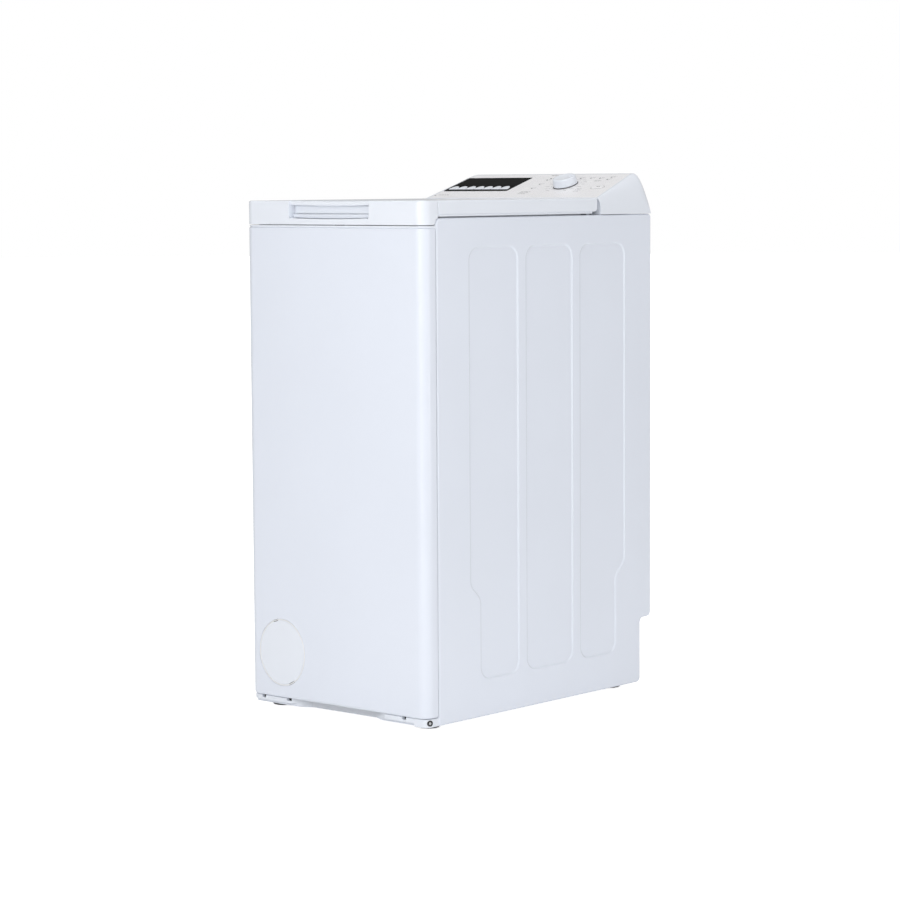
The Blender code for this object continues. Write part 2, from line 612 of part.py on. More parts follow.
def lid_latch_hook():
    """The hook under the lid's front that enters the lock."""
    outline = [(-0.2825, 0.7970), (-0.2745, 0.7970), (-0.2745, 0.8000), (-0.2785, 0.8040), (-0.2785, 0.8233),
               (-0.2825, 0.8233)]
    piece("lid_latch_hook", prism("x", outline, -0.009, 0.009), "black plastic", origin=(0, HINGE_Y, HINGE_Z))


def detergent_dispenser():
    """The three-compartment dispenser under the lid; its mouths face the lid's front."""
    low, high = Vector((-0.110, -0.075, 0.7830)), Vector((0.110, 0.045, 0.8197))
    tray = piece("detergent_dispenser", block(low, high), "grey plastic", origin=(0, HINGE_Y, HINGE_Z))
    for x_low, x_high in dispenser_bays():
        bay = block((x_low, low.y - 0.01, low.z + 0.002), (x_high, high.y - 0.002, high.z - 0.002))
        cut(tray, bay)


def dispenser_bays():
    return ((-0.108, -0.042), (-0.040, 0.050), (0.052, 0.108))


# ---------------------------------------------------------------- tub
def tub_half(side):
    """Half of the tub, with its share of the loading neck and the spring lug."""
    name = "tub_right" if side > 0 else "tub_left"
    centre = (DRUM_Y, DRUM_Z)
    profile = [(-0.0060, TUB_INNER), (-0.0060, TUB_FLANGE), (0.0082, TUB_FLANGE), (0.0082, TUB_OUTER),
               (TUB_END, TUB_OUTER), (TUB_END, HUB_OUTER), (HUB_END, HUB_OUTER), (HUB_END, HUB_BORE),
               (TUB_CAVITY, HUB_BORE), (TUB_CAVITY, TUB_INNER)]
    profile = [(side * along, radius) for along, radius in profile]
    half = piece(name, lathe("x", centre, profile, 32), "grey plastic")
    neck = guide(f"{name}_neck", prism("z", neck_outline(NECK_WALL), 0.62, NECK_TOP))
    cut(neck, cylinder("x", centre, (TUB_INNER + TUB_OUTER) / 2, -0.2, 0.2, 40))
    x_low, x_high = sorted((side * (TUB_END - 0.002), side * 0.1820))
    add(half, neck, block((x_low, DRUM_Y - 0.012, 0.5860), (x_high, DRUM_Y + 0.012, 0.5985)))
    x_low, x_high = sorted((side * 0.0002, side * -0.2))
    cut(half, prism("z", neck_outline(0.0), 0.60, NECK_TOP + 0.01), block((x_low, -0.4, 0.1), (x_high, 0.4, 0.8)))


def counterweight():
    """The concrete block on the tub's upper front."""
    block_y, block_z = (-0.2745, -0.1850), (0.5800, 0.6870)
    weight = piece("counterweight", block((-0.125, block_y[0], block_z[0]), (0.125, block_y[1], block_z[1])),
                   "concrete")
    cut(weight, cylinder("x", (DRUM_Y, DRUM_Z), TUB_FLANGE + 0.001, -0.2, 0.2, 36))
    cut(weight, block((-0.2, -0.1500 - 0.0005, 0.64), (0.2, -0.1, 0.72)))


def heater():
    """The tubular heater below the drum, a long U bent to the tub's curve."""
    radius, wire = (DRUM_RADIUS + TUB_INNER) / 2, 0.0042
    x_near, x_far = 0.040, 0.085
    first, last, steps = -125, -60, 9
    sweep = [(cos(radians(first + (last - first) * k / steps)), sin(radians(first + (last - first) * k / steps)))
             for k in range(steps + 1)]
    going = [Vector((x_near, DRUM_Y + radius * a, DRUM_Z + radius * b)) for a, b in sweep]
    turn_centre, turn_radius = (x_near + x_far) / 2, (x_far - x_near) / 2
    bend = []
    for angle in (150, 120, 90, 60, 30):
        lead = turn_radius * sin(radians(angle)) / radius
        around = radians(last) + lead
        bend.append(Vector((turn_centre + turn_radius * cos(radians(angle)),
                            DRUM_Y + radius * cos(around), DRUM_Z + radius * sin(around))))
    coming = [Vector((x_far, p.y, p.z)) for p in going[::-1]]
    piece("heater", swept_wire(going + bend + coming, wire, 6), "stainless steel", smooth=70)


def bearing(side):
    name = "bearing_right" if side > 0 else "bearing_left"
    piece(name, tube("x", (DRUM_Y, DRUM_Z), HUB_BORE - GAP, SHAFT_RADIUS + GAP,
                     side * 0.1380, side * 0.1500, 20), "stainless steel")


def motor():
    """The drive motor under the tub, with its foot towards the tub."""
    centre = (MOTOR_Y, MOTOR_Z)
    case = [(0.0150, 0.0), (0.0150, 0.0420), (0.0250, MOTOR_RADIUS), (0.1250, MOTOR_RADIUS), (0.1350, 0.0420),
            (0.1450, 0.0200), (0.1450, 0.0)]
    body = piece("motor", lathe("x", centre, case, 24), "galvanised steel")
    toward = Vector((DRUM_Y - MOTOR_Y, DRUM_Z - MOTOR_Z)).normalized()
    across = Vector((-toward.y, toward.x)) * 0.022
    start = Vector(centre) + toward * (MOTOR_RADIUS - 0.012)
    end = Vector((DRUM_Y, DRUM_Z)) - toward * (TUB_FLANGE + 0.0005)
    arm = [tuple(start - across), tuple(end - across), tuple(end + across), tuple(start + across)]
    add(body, prism("x", arm, 0.030, 0.060), prism("x", arm, 0.095, 0.125))
    cut(body, cylinder("x", (DRUM_Y, DRUM_Z), TUB_FLANGE + 0.0005, -0.2, 0.2, 36))
    cut(body, cylinder("x", centre, 0.0064, 0.050, 0.16, 12))


def belt_outline(offset, steps=(20, 7)):
    """The belt's run round both pulleys in (y, z), offset outwards."""
    big, small = PULLEY_RADIUS + offset, MOTOR_PULLEY_RADIUS + offset
    span = Vector((MOTOR_Y - DRUM_Y, MOTOR_Z - DRUM_Z))
    heading = degrees(atan2(span.y, span.x))
    wrap = degrees(asin((big - small) / span.length))
    outline = arc((DRUM_Y, DRUM_Z), big, heading + 90 - wrap, heading + 270 + wrap, steps[0])
    outline += arc((MOTOR_Y, MOTOR_Z), small, heading - 90 + wrap, heading + 90 - wrap, steps[1])
    return outline


def drive_belt():
    rings = []
    outside = BELT_LIFT + BELT_THICK
    for offset, x in ((outside, 0.1610), (outside, 0.1710), (BELT_LIFT, 0.1710), (BELT_LIFT, 0.1610)):
        rings.append([Vector((x, y, z)) for y, z in belt_outline(offset)])
    piece("drive_belt", ring_stack(rings, closed=True), "rubber")


def suspension_spring(side):
    """A tension spring from the top frame's lug to the tub's lug."""
    name = "spring_right" if side > 0 else "spring_left"
    low, high, coil, wire, turns, steps = 0.5985 + GAP, 0.7165 - GAP, 0.0085, 0.0016, 6, 7
    path = []
    for k in range(turns * steps + 1):
        angle = 2 * pi * k / steps
        z = low + wire + (high - low - 2 * wire) * k / (turns * steps)
        path.append(Vector((side * 0.170 + coil * cos(angle), DRUM_Y + coil * sin(angle), z)))
    piece(name, swept_wire(path, wire, 4), "stainless steel", smooth=80)


DAMPERS = {"front": (0.090, -0.120), "rear": (-0.095, 0.030)}


def damper(name, x, y):
    """A friction damper: a cylinder on the base and a rod on the tub."""
    piece(f"damper_cylinder_{name}",
          lathe("z", (x, y), [(BASE_HIGH + GAP, 0.0), (BASE_HIGH + GAP, 0.0170), (0.1150, 0.0170), (0.1150, 0.0090),
                              (0.0300, 0.0090), (0.0300, 0.0)], 16), "black plastic")
    far = abs(y - DRUM_Y) - 0.012
    top = DRUM_Z - sqrt((TUB_FLANGE + 0.002) ** 2 - far ** 2)
    piece(f"damper_rod_{name}", cylinder("z", (x, y), 0.0070, 0.0500, top, 12), "stainless steel")


# ---------------------------------------------------------------- drum
def drum_shell():
    """The drum, with the loading opening and three lifters pressed into its wall."""
    centre = (DRUM_Y, DRUM_Z)
    origin = (0, DRUM_Y, DRUM_Z)
    inside = DRUM_RADIUS - DRUM_WALL
    drum = piece("drum_shell", cylinder("x", centre, DRUM_RADIUS, -DRUM_HALF, DRUM_HALF, 48), "stainless steel",
                 origin=origin)
    mouth = block((-DRUM_MOUTH_X, DRUM_Y - DRUM_MOUTH_Y, DRUM_Z + 0.10),
                  (DRUM_MOUTH_X, DRUM_Y + DRUM_MOUTH_Y, DRUM_Z + 0.30))
    cut(drum, mouth, cylinder("x", centre, inside, -DRUM_HALF + DRUM_WALL, DRUM_HALF - DRUM_WALL, 48))
    for angle in (0, 180, 270):
        lifter = [(inside - 0.048, -0.008), (inside - 0.048, 0.008), (inside + 0.0006, 0.030), (inside + 0.0006, -0.030)]
        turn = radians(angle)
        outline = [(DRUM_Y + a * cos(turn) - b * sin(turn), DRUM_Z + a * sin(turn) + b * cos(turn))
                   for a, b in lifter]
        add(drum, prism("x", outline, -0.112, 0.112))


def drum_shaft(side):
    """A stub shaft with the three-armed flange that carries the drum's end."""
    name = "drum_shaft_right" if side > 0 else "drum_shaft_left"
    end = 0.1780 if side > 0 else 0.1560
    profile = [(DRUM_HALF + GAP, 0.0), (DRUM_HALF + GAP, 0.0600), (DRUM_HALF + 0.0040, 0.0600),
               (DRUM_HALF + 0.0060, 0.0200), (DRUM_HALF + 0.0080, SHAFT_RADIUS), (end, SHAFT_RADIUS), (end, 0.0)]
    profile = [(side * along, radius) for along, radius in profile]
    piece(name, lathe("x", (DRUM_Y, DRUM_Z), profile, 20), "galvanised steel", origin=(0, DRUM_Y, DRUM_Z))


def drum_pulley():
    low, high = PULLEY_X
    profile = [(low, SHAFT_RADIUS + GAP), (low, 0.0260), (0.1645, 0.0300), (0.1645, PULLEY_RADIUS - 0.008),
               (low, PULLEY_RADIUS - 0.008), (low, PULLEY_RADIUS), (high, PULLEY_RADIUS),
               (high, PULLEY_RADIUS - 0.008), (0.1675, PULLEY_RADIUS - 0.008), (0.1675, 0.0300), (high, 0.0260),
               (high, SHAFT_RADIUS + GAP)]
    piece("drum_pulley", lathe("x", (DRUM_Y, DRUM_Z), profile, 24), "galvanised steel", origin=(0, DRUM_Y, DRUM_Z))


def motor_pulley():
    """The small pulley with the motor's shaft."""
    radius = MOTOR_PULLEY_RADIUS
    profile = [(0.0520, 0.0), (0.0520, 0.0060), (0.1560, 0.0060), (0.1560, radius), (0.1745, radius), (0.1745, 0.0)]
    piece("motor_pulley", lathe("x", (MOTOR_Y, MOTOR_Z), profile, 20), "galvanised steel",
          origin=(0, MOTOR_Y, MOTOR_Z))


HINGE_OFFSET = 0.0950        # flap hinge's distance from the drum's middle plane
HINGE_RADIUS = 0.2215


def drum_flap(name, sign):
    """A curved flap on a rolled hinge edge; it folds into the drum."""
    outer, inner = DRUM_RADIUS - 0.0006, DRUM_RADIUS - 0.0022
    far = degrees(asin(HINGE_OFFSET / inner))
    near = degrees(asin(0.0020 / inner))
    top = arc((0, 0), outer, 90 - far, 90 - near, 6)
    under = arc((0, 0), inner, 90 - near, 90 - far, 6)
    outline = [(DRUM_Y + sign * a, DRUM_Z + b) for a, b in top + under]
    barrel = (DRUM_Y + sign * HINGE_OFFSET, DRUM_Z + sqrt(HINGE_RADIUS ** 2 - HINGE_OFFSET ** 2))
    flap = piece(name, prism("x", outline, -0.1035, 0.1035), "stainless steel", origin=(0, *barrel))
    add(flap, cylinder("x", barrel, 0.0028, -0.1030, 0.1030, 12))
    return flap


def flap_latch():
    """The sliding catch on the front flap."""
    z = DRUM_Z + DRUM_RADIUS - GAP
    body = block((-0.030, DRUM_Y - 0.0300, z), (0.030, DRUM_Y - 0.0030, z + 0.0016))
    latch = piece("flap_latch", body, "stainless steel", origin=(0, DRUM_Y - 0.012, z))
    add(latch, block((-0.014, DRUM_Y - 0.0240, z + 0.001), (0.014, DRUM_Y - 0.0160, z + 0.0045)))


# ---------------------------------------------------------------- the machine
def build():
    clear_scene()
    front_panel()
    rear_panel()
    base_frame()
    top_frame()
    loading_funnel()
    bellows()
    for side in (-1, 1):
        side_panel(side)
        tub_half(side)
        bearing(side)
        suspension_spring(side)
        drum_shaft(side)
    for x_name, x in (("left", -FOOT_X), ("right", FOOT_X)):
        foot(f"foot_front_{x_name}", x, FOOT_FRONT_Y)
        foot(f"foot_rear_{x_name}", x, FOOT_REAR_Y)
    console_housing()
    control_fascia()
    display_window()
    control_board()
    program_knob()
    for number, x in enumerate(button_places(), start=1):
        outline = key_outline(x, BUTTON_S, BUTTON_SIZE, BUTTON_RADII)
        push_button(f"option_button_{number}", x, BUTTON_S, outline, 0.0008, "white plastic")
    start = key_outline(START_X, START_S, START_SIZE, START_RADIUS)
    push_button("start_button", START_X, START_S, start, 0.0014, "fascia plastic")
    door_lock()
    hose_fittings()
    filter_parts()
    lid_shell()
    lid_liner()
    lid_latch_hook()
    detergent_dispenser()
    counterweight()
    heater()
    motor()
    drive_belt()
    motor_pulley()
    for name, (x, y) in DAMPERS.items():
        damper(name, x, y)
    drum_shell()
    drum_pulley()
    drum_flap("drum_flap_front", -1)
    drum_flap("drum_flap_rear", 1)
    flap_latch()


build()
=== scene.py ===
"""Visual model of a narrow top-loading washing machine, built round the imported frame.

Sizes and places come from the frame's own nodes. Metres, +Z up, front towards -Y.
"""

import json
from math import acos, atan2, cos, pi, radians, sin, sqrt, tan

import bmesh
import bpy
from mathutils import Matrix, Vector


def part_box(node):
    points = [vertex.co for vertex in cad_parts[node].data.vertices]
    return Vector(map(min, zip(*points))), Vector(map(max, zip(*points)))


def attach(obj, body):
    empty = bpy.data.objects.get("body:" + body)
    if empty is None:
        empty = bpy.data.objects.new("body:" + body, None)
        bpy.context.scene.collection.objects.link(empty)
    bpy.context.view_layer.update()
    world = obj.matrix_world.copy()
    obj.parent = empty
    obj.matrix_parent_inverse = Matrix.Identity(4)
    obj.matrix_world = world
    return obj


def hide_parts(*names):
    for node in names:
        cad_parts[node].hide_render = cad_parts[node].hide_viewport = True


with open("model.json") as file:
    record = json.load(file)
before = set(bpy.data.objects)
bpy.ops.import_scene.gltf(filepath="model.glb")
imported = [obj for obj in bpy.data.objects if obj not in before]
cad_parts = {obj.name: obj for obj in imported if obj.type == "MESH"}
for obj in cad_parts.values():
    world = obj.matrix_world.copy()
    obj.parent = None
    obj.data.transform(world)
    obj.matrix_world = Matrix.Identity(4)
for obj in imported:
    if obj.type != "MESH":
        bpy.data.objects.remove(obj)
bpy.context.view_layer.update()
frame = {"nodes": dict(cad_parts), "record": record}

# ---------------------------------------------------------------- sizes from the frame
side_low, side_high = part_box("side_panel_right")
panel_low, panel_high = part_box("front_panel")
lid_low, lid_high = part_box("lid_shell")
console_low, console_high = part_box("console_housing")
cover_low, cover_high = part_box("filter_cover")
base_low, base_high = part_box("base_frame")
knob_low, knob_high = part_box("program_knob")

HALF = side_high.x
FRONT, BACK = panel_low.y, side_high.y
CORNER = 0.018                                # vertical corner radius of the front panel and the lid
NOTCH_Y, NOTCH_Z = 0.270, 0.120               # the lower back steps in below and behind here
COVER = ((cover_low.x + cover_high.x) / 2, (cover_low.z + cover_high.z) / 2)     # x and z of its centre
COVER_RADIUS = (cover_high.x - cover_low.x) / 2
COVER_OVAL = 0.935                            # the filter cover's width by its height
COVER_NOTCHES = (106, -65)                    # where its two coin notches are, in degrees

GRIP_X, GRIP_HALF = -0.0070, 0.0900           # the hand recess sits a little left of the middle
GRIP_LOW, GRIP_HIGH, GRIP_REAR = 0.8268, 0.8485, -0.2862
LID_SEAM = -0.2624                            # groove between the lid's grip strip and its main panel
LID_SIDE_LOW = 0.8345                         # lower edge of the lid's sides
HINGE_Y, HINGE_Z = 0.1410, 0.8450

FACE_Y, FACE_Z = console_low.y, lid_high.z + 0.0003      # the console face's front edge
CREST_Y = 0.275                               # the console's highest line
FACE_TILT = atan2(console_high.z - FACE_Z, CREST_Y - FACE_Y)

FOOT_X, FOOT_YS = 0.165, {"front": -0.255, "rear": 0.225}
BASE_SLOT_XS = (-0.1720, -0.1140, 0.1480)

AXIS = (-0.030, 0.440)                        # y and z of the drum's axis
DRUM_RADIUS, DRUM_HALF = 0.2250, 0.1250
TUB_INNER, TUB_OUTER, TUB_FLANGE, TUB_END = 0.2420, 0.2460, 0.2520, 0.1400
HUB_BORE, HUB_END, SHAFT_RADIUS = 0.0220, 0.1520, 0.0125
NECK_HIGH, FUNNEL_LOW = 0.7000, 0.7350        # the bellows fills the gap between them
MOTOR, MOTOR_RADIUS = (0.140, 0.160), 0.055   # y and z of the motor's axis
RECESS_FACE = NOTCH_Y - 0.0015                # the sheet behind the fittings
INLET_X, DRAIN_X, FITTING_Z = 0.120, -0.120, 0.072


def face_coordinates(node):
    """The middle of a control in the console face's own (x, s)."""
    low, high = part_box(node)
    middle = (low + high) / 2
    return middle.x, (middle.y - FACE_Y) * cos(FACE_TILT) + (middle.z - FACE_Z) * sin(FACE_TILT)


BUTTON_XS = [face_coordinates(f"option_button_{number}")[0] for number in range(1, 8)]
BUTTON_S = face_coordinates("option_button_1")[1]
BUTTON_SIZE = (0.0188, 0.0158)
START_X, START_S = face_coordinates("start_button")
START_SIZE = (0.0240, 0.0120)
KNOB_X, KNOB_S, KNOB_TOP = face_coordinates("program_knob")[0], 0.0670, 0.0154
DISPLAY_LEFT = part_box("display_window")[0].x
DISPLAY = ((-0.1860, 0.0378, 0.003), (-0.0362, 0.0378, 0.003),
           (-0.0300, 0.1082, 0.003), (-0.1828, 0.1082, 0.003))


# ---------------------------------------------------------------- outlines and solids
AXES = {"x": (1, 2, 0), "y": (0, 2, 1), "z": (0, 1, 2)}   # outline axes, then the axis


def at(axis, first, second, along):
    """A point from its place in an outline and its place along the axis."""
    point = [0.0, 0.0, 0.0]
    for index, value in zip(AXES[axis], (first, second, along)):
        point[index] = value
    return Vector(point)


def rounded(corners, inset=0.0, steps=8):
    """A counter-clockwise outline of (a, b, radius) corners, moved inwards, its corners as arcs."""
    outline = []
    count = len(corners)
    for k, (a, b, radius) in enumerate(corners):
        here = Vector((a, b))
        before, after = Vector(corners[k - 1][:2]), Vector(corners[(k + 1) % count][:2])
        way_in, way_out = (here - before).normalized(), (after - here).normalized()
        left_in, left_out = Vector((-way_in.y, way_in.x)), Vector((-way_out.y, way_out.x))
        corner = here + (left_in + left_out) * inset / (1 + left_in.dot(left_out))
        side = 1 if way_in.cross(way_out) > 0 else -1
        turn = acos(max(-1.0, min(1.0, way_in.dot(way_out))))
        bend = max(radius - side * inset, 0.00005)
        start = corner - way_in * bend * tan(turn / 2)
        centre = start + left_in * bend * side
        arm = start - centre
        for step in range(steps + 1):
            angle = side * turn * step / steps
            c, s = cos(angle), sin(angle)
            outline.append(tuple(centre + Vector((arm.x * c - arm.y * s, arm.x * s + arm.y * c))))
    return outline


def rectangle(low, high, radius, inset=0.0, steps=8):
    """An outline from two opposite corners, its own corners rounded."""
    corners = [(low[0], low[1], radius), (high[0], low[1], radius), (high[0], high[1], radius),
               (low[0], high[1], radius)]
    return rounded(corners, inset, steps)


def arc(centre, radius, start, end, steps):
    """Points on an arc between two angles in degrees, both ends included."""
    angles = [radians(start + (end - start) * k / steps) for k in range(steps + 1)]
    return [(centre[0] + radius * cos(a), centre[1] + radius * sin(a)) for a in angles]


def circle(centre, radius, segments):
    """Points round a circle, with no point twice."""
    return arc(centre, radius, 0, 360 * (segments - 1) / segments, segments - 1)


def beyond(start, profile):
    """A profile whose first values are counted from start."""
    return [(start + along, radius) for along, radius in profile]


def facing(side, profile):
    """A profile for the right side of the machine, or its mirror image for the left."""
    return [(side * along, radius) for along, radius in profile]


def about_drum(shape, angle):
    """Turns a shape made round the origin about the drum's axis."""
    return moved(shape, Matrix.Translation((0, *AXIS)) @ Matrix.Rotation(radians(angle), 4, "X"))


def sheet_of(rings, closed_rings=True, join_ends=False):
    """A skin through rings of points; closed_rings joins each ring's last point to its first."""
    shape = bmesh.new()
    loops = [[shape.verts.new(point) for point in ring] for ring in rings]
    count = len(rings[0])
    pairs = list(zip(loops, loops[1:])) + ([(loops[-1], loops[0])] if join_ends else [])
    for lower, upper in pairs:
        for k in range(count if closed_rings else count - 1):
            nxt = (k + 1) % count
            shape.faces.new((lower[k], lower[nxt], upper[nxt], upper[k]))
    return shape, loops


def solid_of(rings, join_ends=False):
    """A closed solid through rings of points, capped unless its ends are joined."""
    shape, loops = sheet_of(rings, join_ends=join_ends)
    if not join_ends:
        shape.faces.new(loops[0])
        shape.faces.new(loops[-1])
    bmesh.ops.recalc_face_normals(shape, faces=shape.faces)
    return shape


def prism(axis, outline, start, end):
    """A solid with one outline from start to end along an axis."""
    return solid_of([[at(axis, a, b, along) for a, b in outline] for along in (start, end)])


def block(low, high):
    """A box from two opposite corners."""
    outline = [(low[0], low[1]), (high[0], low[1]), (high[0], high[1]), (low[0], high[1])]
    return prism("z", outline, low[2], high[2])


def cylinder(axis, centre, radius, start, end, segments=32):
    """A round prism."""
    return prism(axis, circle(centre, radius, segments), start, end)


def lathe(axis, centre, profile, segments=48, join_ends=True):
    """Turns (along, radius) points about an axis; radius 0 closes to a point."""
    shape = bmesh.new()
    loops = []
    for along, radius in profile:
        if radius == 0:
            loops.append([shape.verts.new(at(axis, *centre, along))])
        else:
            ring = circle(centre, radius, segments)
            loops.append([shape.verts.new(at(axis, a, b, along)) for a, b in ring])
    turns = len(loops) if join_ends else len(loops) - 1
    for k in range(turns):
        ring, other = loops[k], loops[(k + 1) % len(loops)]
        for j in range(segments):
            nxt = (j + 1) % segments
            if len(ring) == 1 and len(other) == 1:
                break
            if len(ring) == 1:
                shape.faces.new((ring[0], other[nxt], other[j]))
            elif len(other) == 1:
                shape.faces.new((ring[j], ring[nxt], other[0]))
            else:
                shape.faces.new((ring[j], ring[nxt], other[nxt], other[j]))
    bmesh.ops.recalc_face_normals(shape, faces=shape.faces)
    return shape


def wire(path, radius, sides=10):
    """A round bar along a list of points."""
    rings = []
    across = (path[1] - path[0]).orthogonal().normalized()
    for k, point in enumerate(path):
        ahead = (path[min(k + 1, len(path) - 1)] - path[max(k - 1, 0)]).normalized()
        across = (across - ahead * across.dot(ahead)).normalized()
        side = ahead.cross(across)
        angles = [2 * pi * j / sides for j in range(sides)]
        rings.append([point + (across * cos(a) + side * sin(a)) * radius for a in angles])
    return solid_of(rings)


def moved(shape, matrix):
    """The same shape after a matrix."""
    bmesh.ops.transform(shape, matrix=matrix, verts=shape.verts)
    return shape


def merged(*shapes):
    """Several shapes as one mesh of separate bodies."""
    whole = bmesh.new()
    for shape in shapes:
        mesh = bpy.data.meshes.new("part")
        shape.to_mesh(mesh)
        whole.from_mesh(mesh)
        bpy.data.meshes.remove(mesh)
        shape.free()
    return whole


# ---------------------------------------------------------------- pieces
def plain_object(name, shape, smooth=35):
    """An object in the scene with smooth shading up to an angle."""
    mesh = bpy.data.meshes.new(name)
    shape.to_mesh(mesh)
    shape.free()
    mesh.shade_smooth()
    if smooth < 180:
        mesh.set_sharp_from_angle(angle=radians(smooth))
    made = bpy.data.objects.new(name, mesh)
    bpy.context.scene.collection.objects.link(made)
    return made


def piece(name, shape, body, slot, replaces=(), smooth=35, look=None):
    """A shown piece that rides on a body, in its slot's material unless a look is given."""
    made = plain_object(name, shape, smooth)
    made.data.materials.append(look or LOOKS[slot])
    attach(made, body)
    if replaces:
        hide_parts(*replaces)
    return made


def bevel(obj, width, segments=3, angle=35):
    """Rounds an object's edges."""
    step = obj.modifiers.new("Edges", "BEVEL")
    step.width = width
    step.segments = segments
    step.limit_method = "ANGLE"
    step.angle_limit = radians(angle)
    step.miter_outer = "MITER_ARC"
    step.harden_normals = False
    return obj


def flat_shading(obj):
    """Keeps large flat faces flat beside rounded edges."""
    step = obj.modifiers.new("Flat faces", "WEIGHTED_NORMAL")
    step.keep_sharp = True
    step.weight = 80
    return obj


def boolean(obj, shape, operation="DIFFERENCE"):
    """Cuts or joins a shape, with the result applied."""
    tool = plain_object(f"{obj.name}_tool", shape)
    step = obj.modifiers.new("Cut", "BOOLEAN")
    step.operation = operation
    step.object = tool
    apply_modifiers(obj)
    bpy.data.objects.remove(tool, do_unlink=True)
    return obj


def apply_modifiers(obj):
    """Makes an object's modifiers part of its mesh."""
    graph = bpy.context.evaluated_depsgraph_get()
    mesh = bpy.data.meshes.new_from_object(obj.evaluated_get(graph), depsgraph=graph)
    old = obj.data
    obj.modifiers.clear()
    obj.data = mesh
    bpy.data.meshes.remove(old)


def thicken(obj, thickness, offset=-1.0):
    """Gives a sheet its thickness."""
    step = obj.modifiers.new("Sheet", "SOLIDIFY")
    step.thickness = thickness
    step.offset = offset
    step.use_even_offset = True
    return obj


# ---------------------------------------------------------------- materials
def shader_of(name, colour, roughness, metallic=0.0, **extra):
    """A Principled material; extra sets plain sockets by name."""
    made = bpy.data.materials.new(name)
    made.use_nodes = True
    shader = made.node_tree.nodes["Principled BSDF"]
    shader.inputs["Base Color"].default_value = (*colour, 1.0)
    shader.inputs["Roughness"].default_value = roughness
    shader.inputs["Metallic"].default_value = metallic
    for socket, value in extra.items():
        shader.inputs[socket.replace("_", " ")].default_value = value
    return made, shader


def add_node(look, kind, **settings):
    """A new node of a kind in a material or world, with its settings."""
    made = look.node_tree.nodes.new(kind)
    for key, value in settings.items():
        setattr(made, key, value)
    return made


def pattern(look, scale, detail=3.0, stretch=(1, 1, 1), kind="ShaderNodeTexNoise"):
    """A noise or cell pattern in the piece's own metres; scale is cells per metre."""
    links = look.node_tree.links
    place = add_node(look, "ShaderNodeTexCoord")
    spread = add_node(look, "ShaderNodeMapping")
    spread.inputs["Scale"].default_value = stretch
    texture = add_node(look, kind)
    texture.inputs["Scale"].default_value = scale
    if kind == "ShaderNodeTexNoise":
        texture.inputs["Detail"].default_value = detail
    links.new(place.outputs["Object"], spread.inputs["Vector"])
    links.new(spread.outputs["Vector"], texture.inputs["Vector"])
    return texture


def remap(look, source, low, high, start=0.3, end=0.7):
    """A pattern's value, spread over low to high."""
    spread = add_node(look, "ShaderNodeMapRange")
    for socket, value in (("From Min", start), ("From Max", end), ("To Min", low), ("To Max", high)):
        spread.inputs[socket].default_value = value
    look.node_tree.links.new(source, spread.inputs["Value"])
    return spread.outputs["Result"]


def feed(look, shader, socket, source):
    """Joins a value or a colour to one of the shader's sockets."""
    look.node_tree.links.new(source, shader.inputs[socket])


def tint(look, source, dark, light, start=0.3, end=0.7):
    """A colour between dark and light by a pattern's value."""
    ramp = add_node(look, "ShaderNodeValToRGB")
    ramp.color_ramp.elements[0].position = start
    ramp.color_ramp.elements[0].color = (*dark, 1)
    ramp.color_ramp.elements[1].position = end
    ramp.color_ramp.elements[1].color = (*light, 1)
    look.node_tree.links.new(source, ramp.inputs["Fac"])
    return ramp.outputs["Color"]


def bump(look, shader, source, depth, strength=1.0, under=None):
    """A bump of a real depth in metres; under is another bump below it."""
    relief = add_node(look, "ShaderNodeBump")
    relief.inputs["Distance"].default_value = depth
    relief.inputs["Strength"].default_value = strength
    look.node_tree.links.new(source, relief.inputs["Height"])
    if under:
        look.node_tree.links.new(under, relief.inputs["Normal"])
    look.node_tree.links.new(relief.outputs["Normal"], shader.inputs["Normal"])
    return relief.outputs["Normal"]


def shade(colour, factor):
    """A colour made darker or lighter."""
    return tuple(min(1.0, value * factor) for value in colour)


def moulded(name, colour, roughness, variation=0.012, grain=1600, depth=0.00003, **extra):
    """Moulded plastic: a fine grain, and the faint unevenness of a large moulding."""
    look, shader = shader_of(name, colour, roughness, **extra)
    broad = pattern(look, 14, 2.0)
    dark, light = shade(colour, 1 - variation), shade(colour, 1 + variation)
    feed(look, shader, "Base Color", tint(look, broad.outputs["Fac"], dark, light))
    fine = pattern(look, grain, 4.0)
    feed(look, shader, "Roughness", remap(look, fine.outputs["Fac"], roughness - 0.05, roughness + 0.05))
    bump(look, shader, fine.outputs["Fac"], depth)
    return look


def enamel():
    """Stoved enamel on sheet steel: clear top coat with a slight orange peel."""
    colour = (0.770, 0.810, 0.895)
    look, shader = shader_of("cabinet enamel", colour, 0.34, Coat_Weight=0.9, Coat_Roughness=0.07)
    broad = pattern(look, 5, 2.0)
    dark, light = shade(colour, 0.988), shade(colour, 1.008)
    feed(look, shader, "Base Color", tint(look, broad.outputs["Fac"], dark, light))
    dust = pattern(look, 60, 5.0)
    feed(look, shader, "Roughness", remap(look, dust.outputs["Fac"], 0.30, 0.38))
    peel = pattern(look, 420, 2.0)
    bump(look, shader, peel.outputs["Fac"], 0.00003, 0.6)
    return look


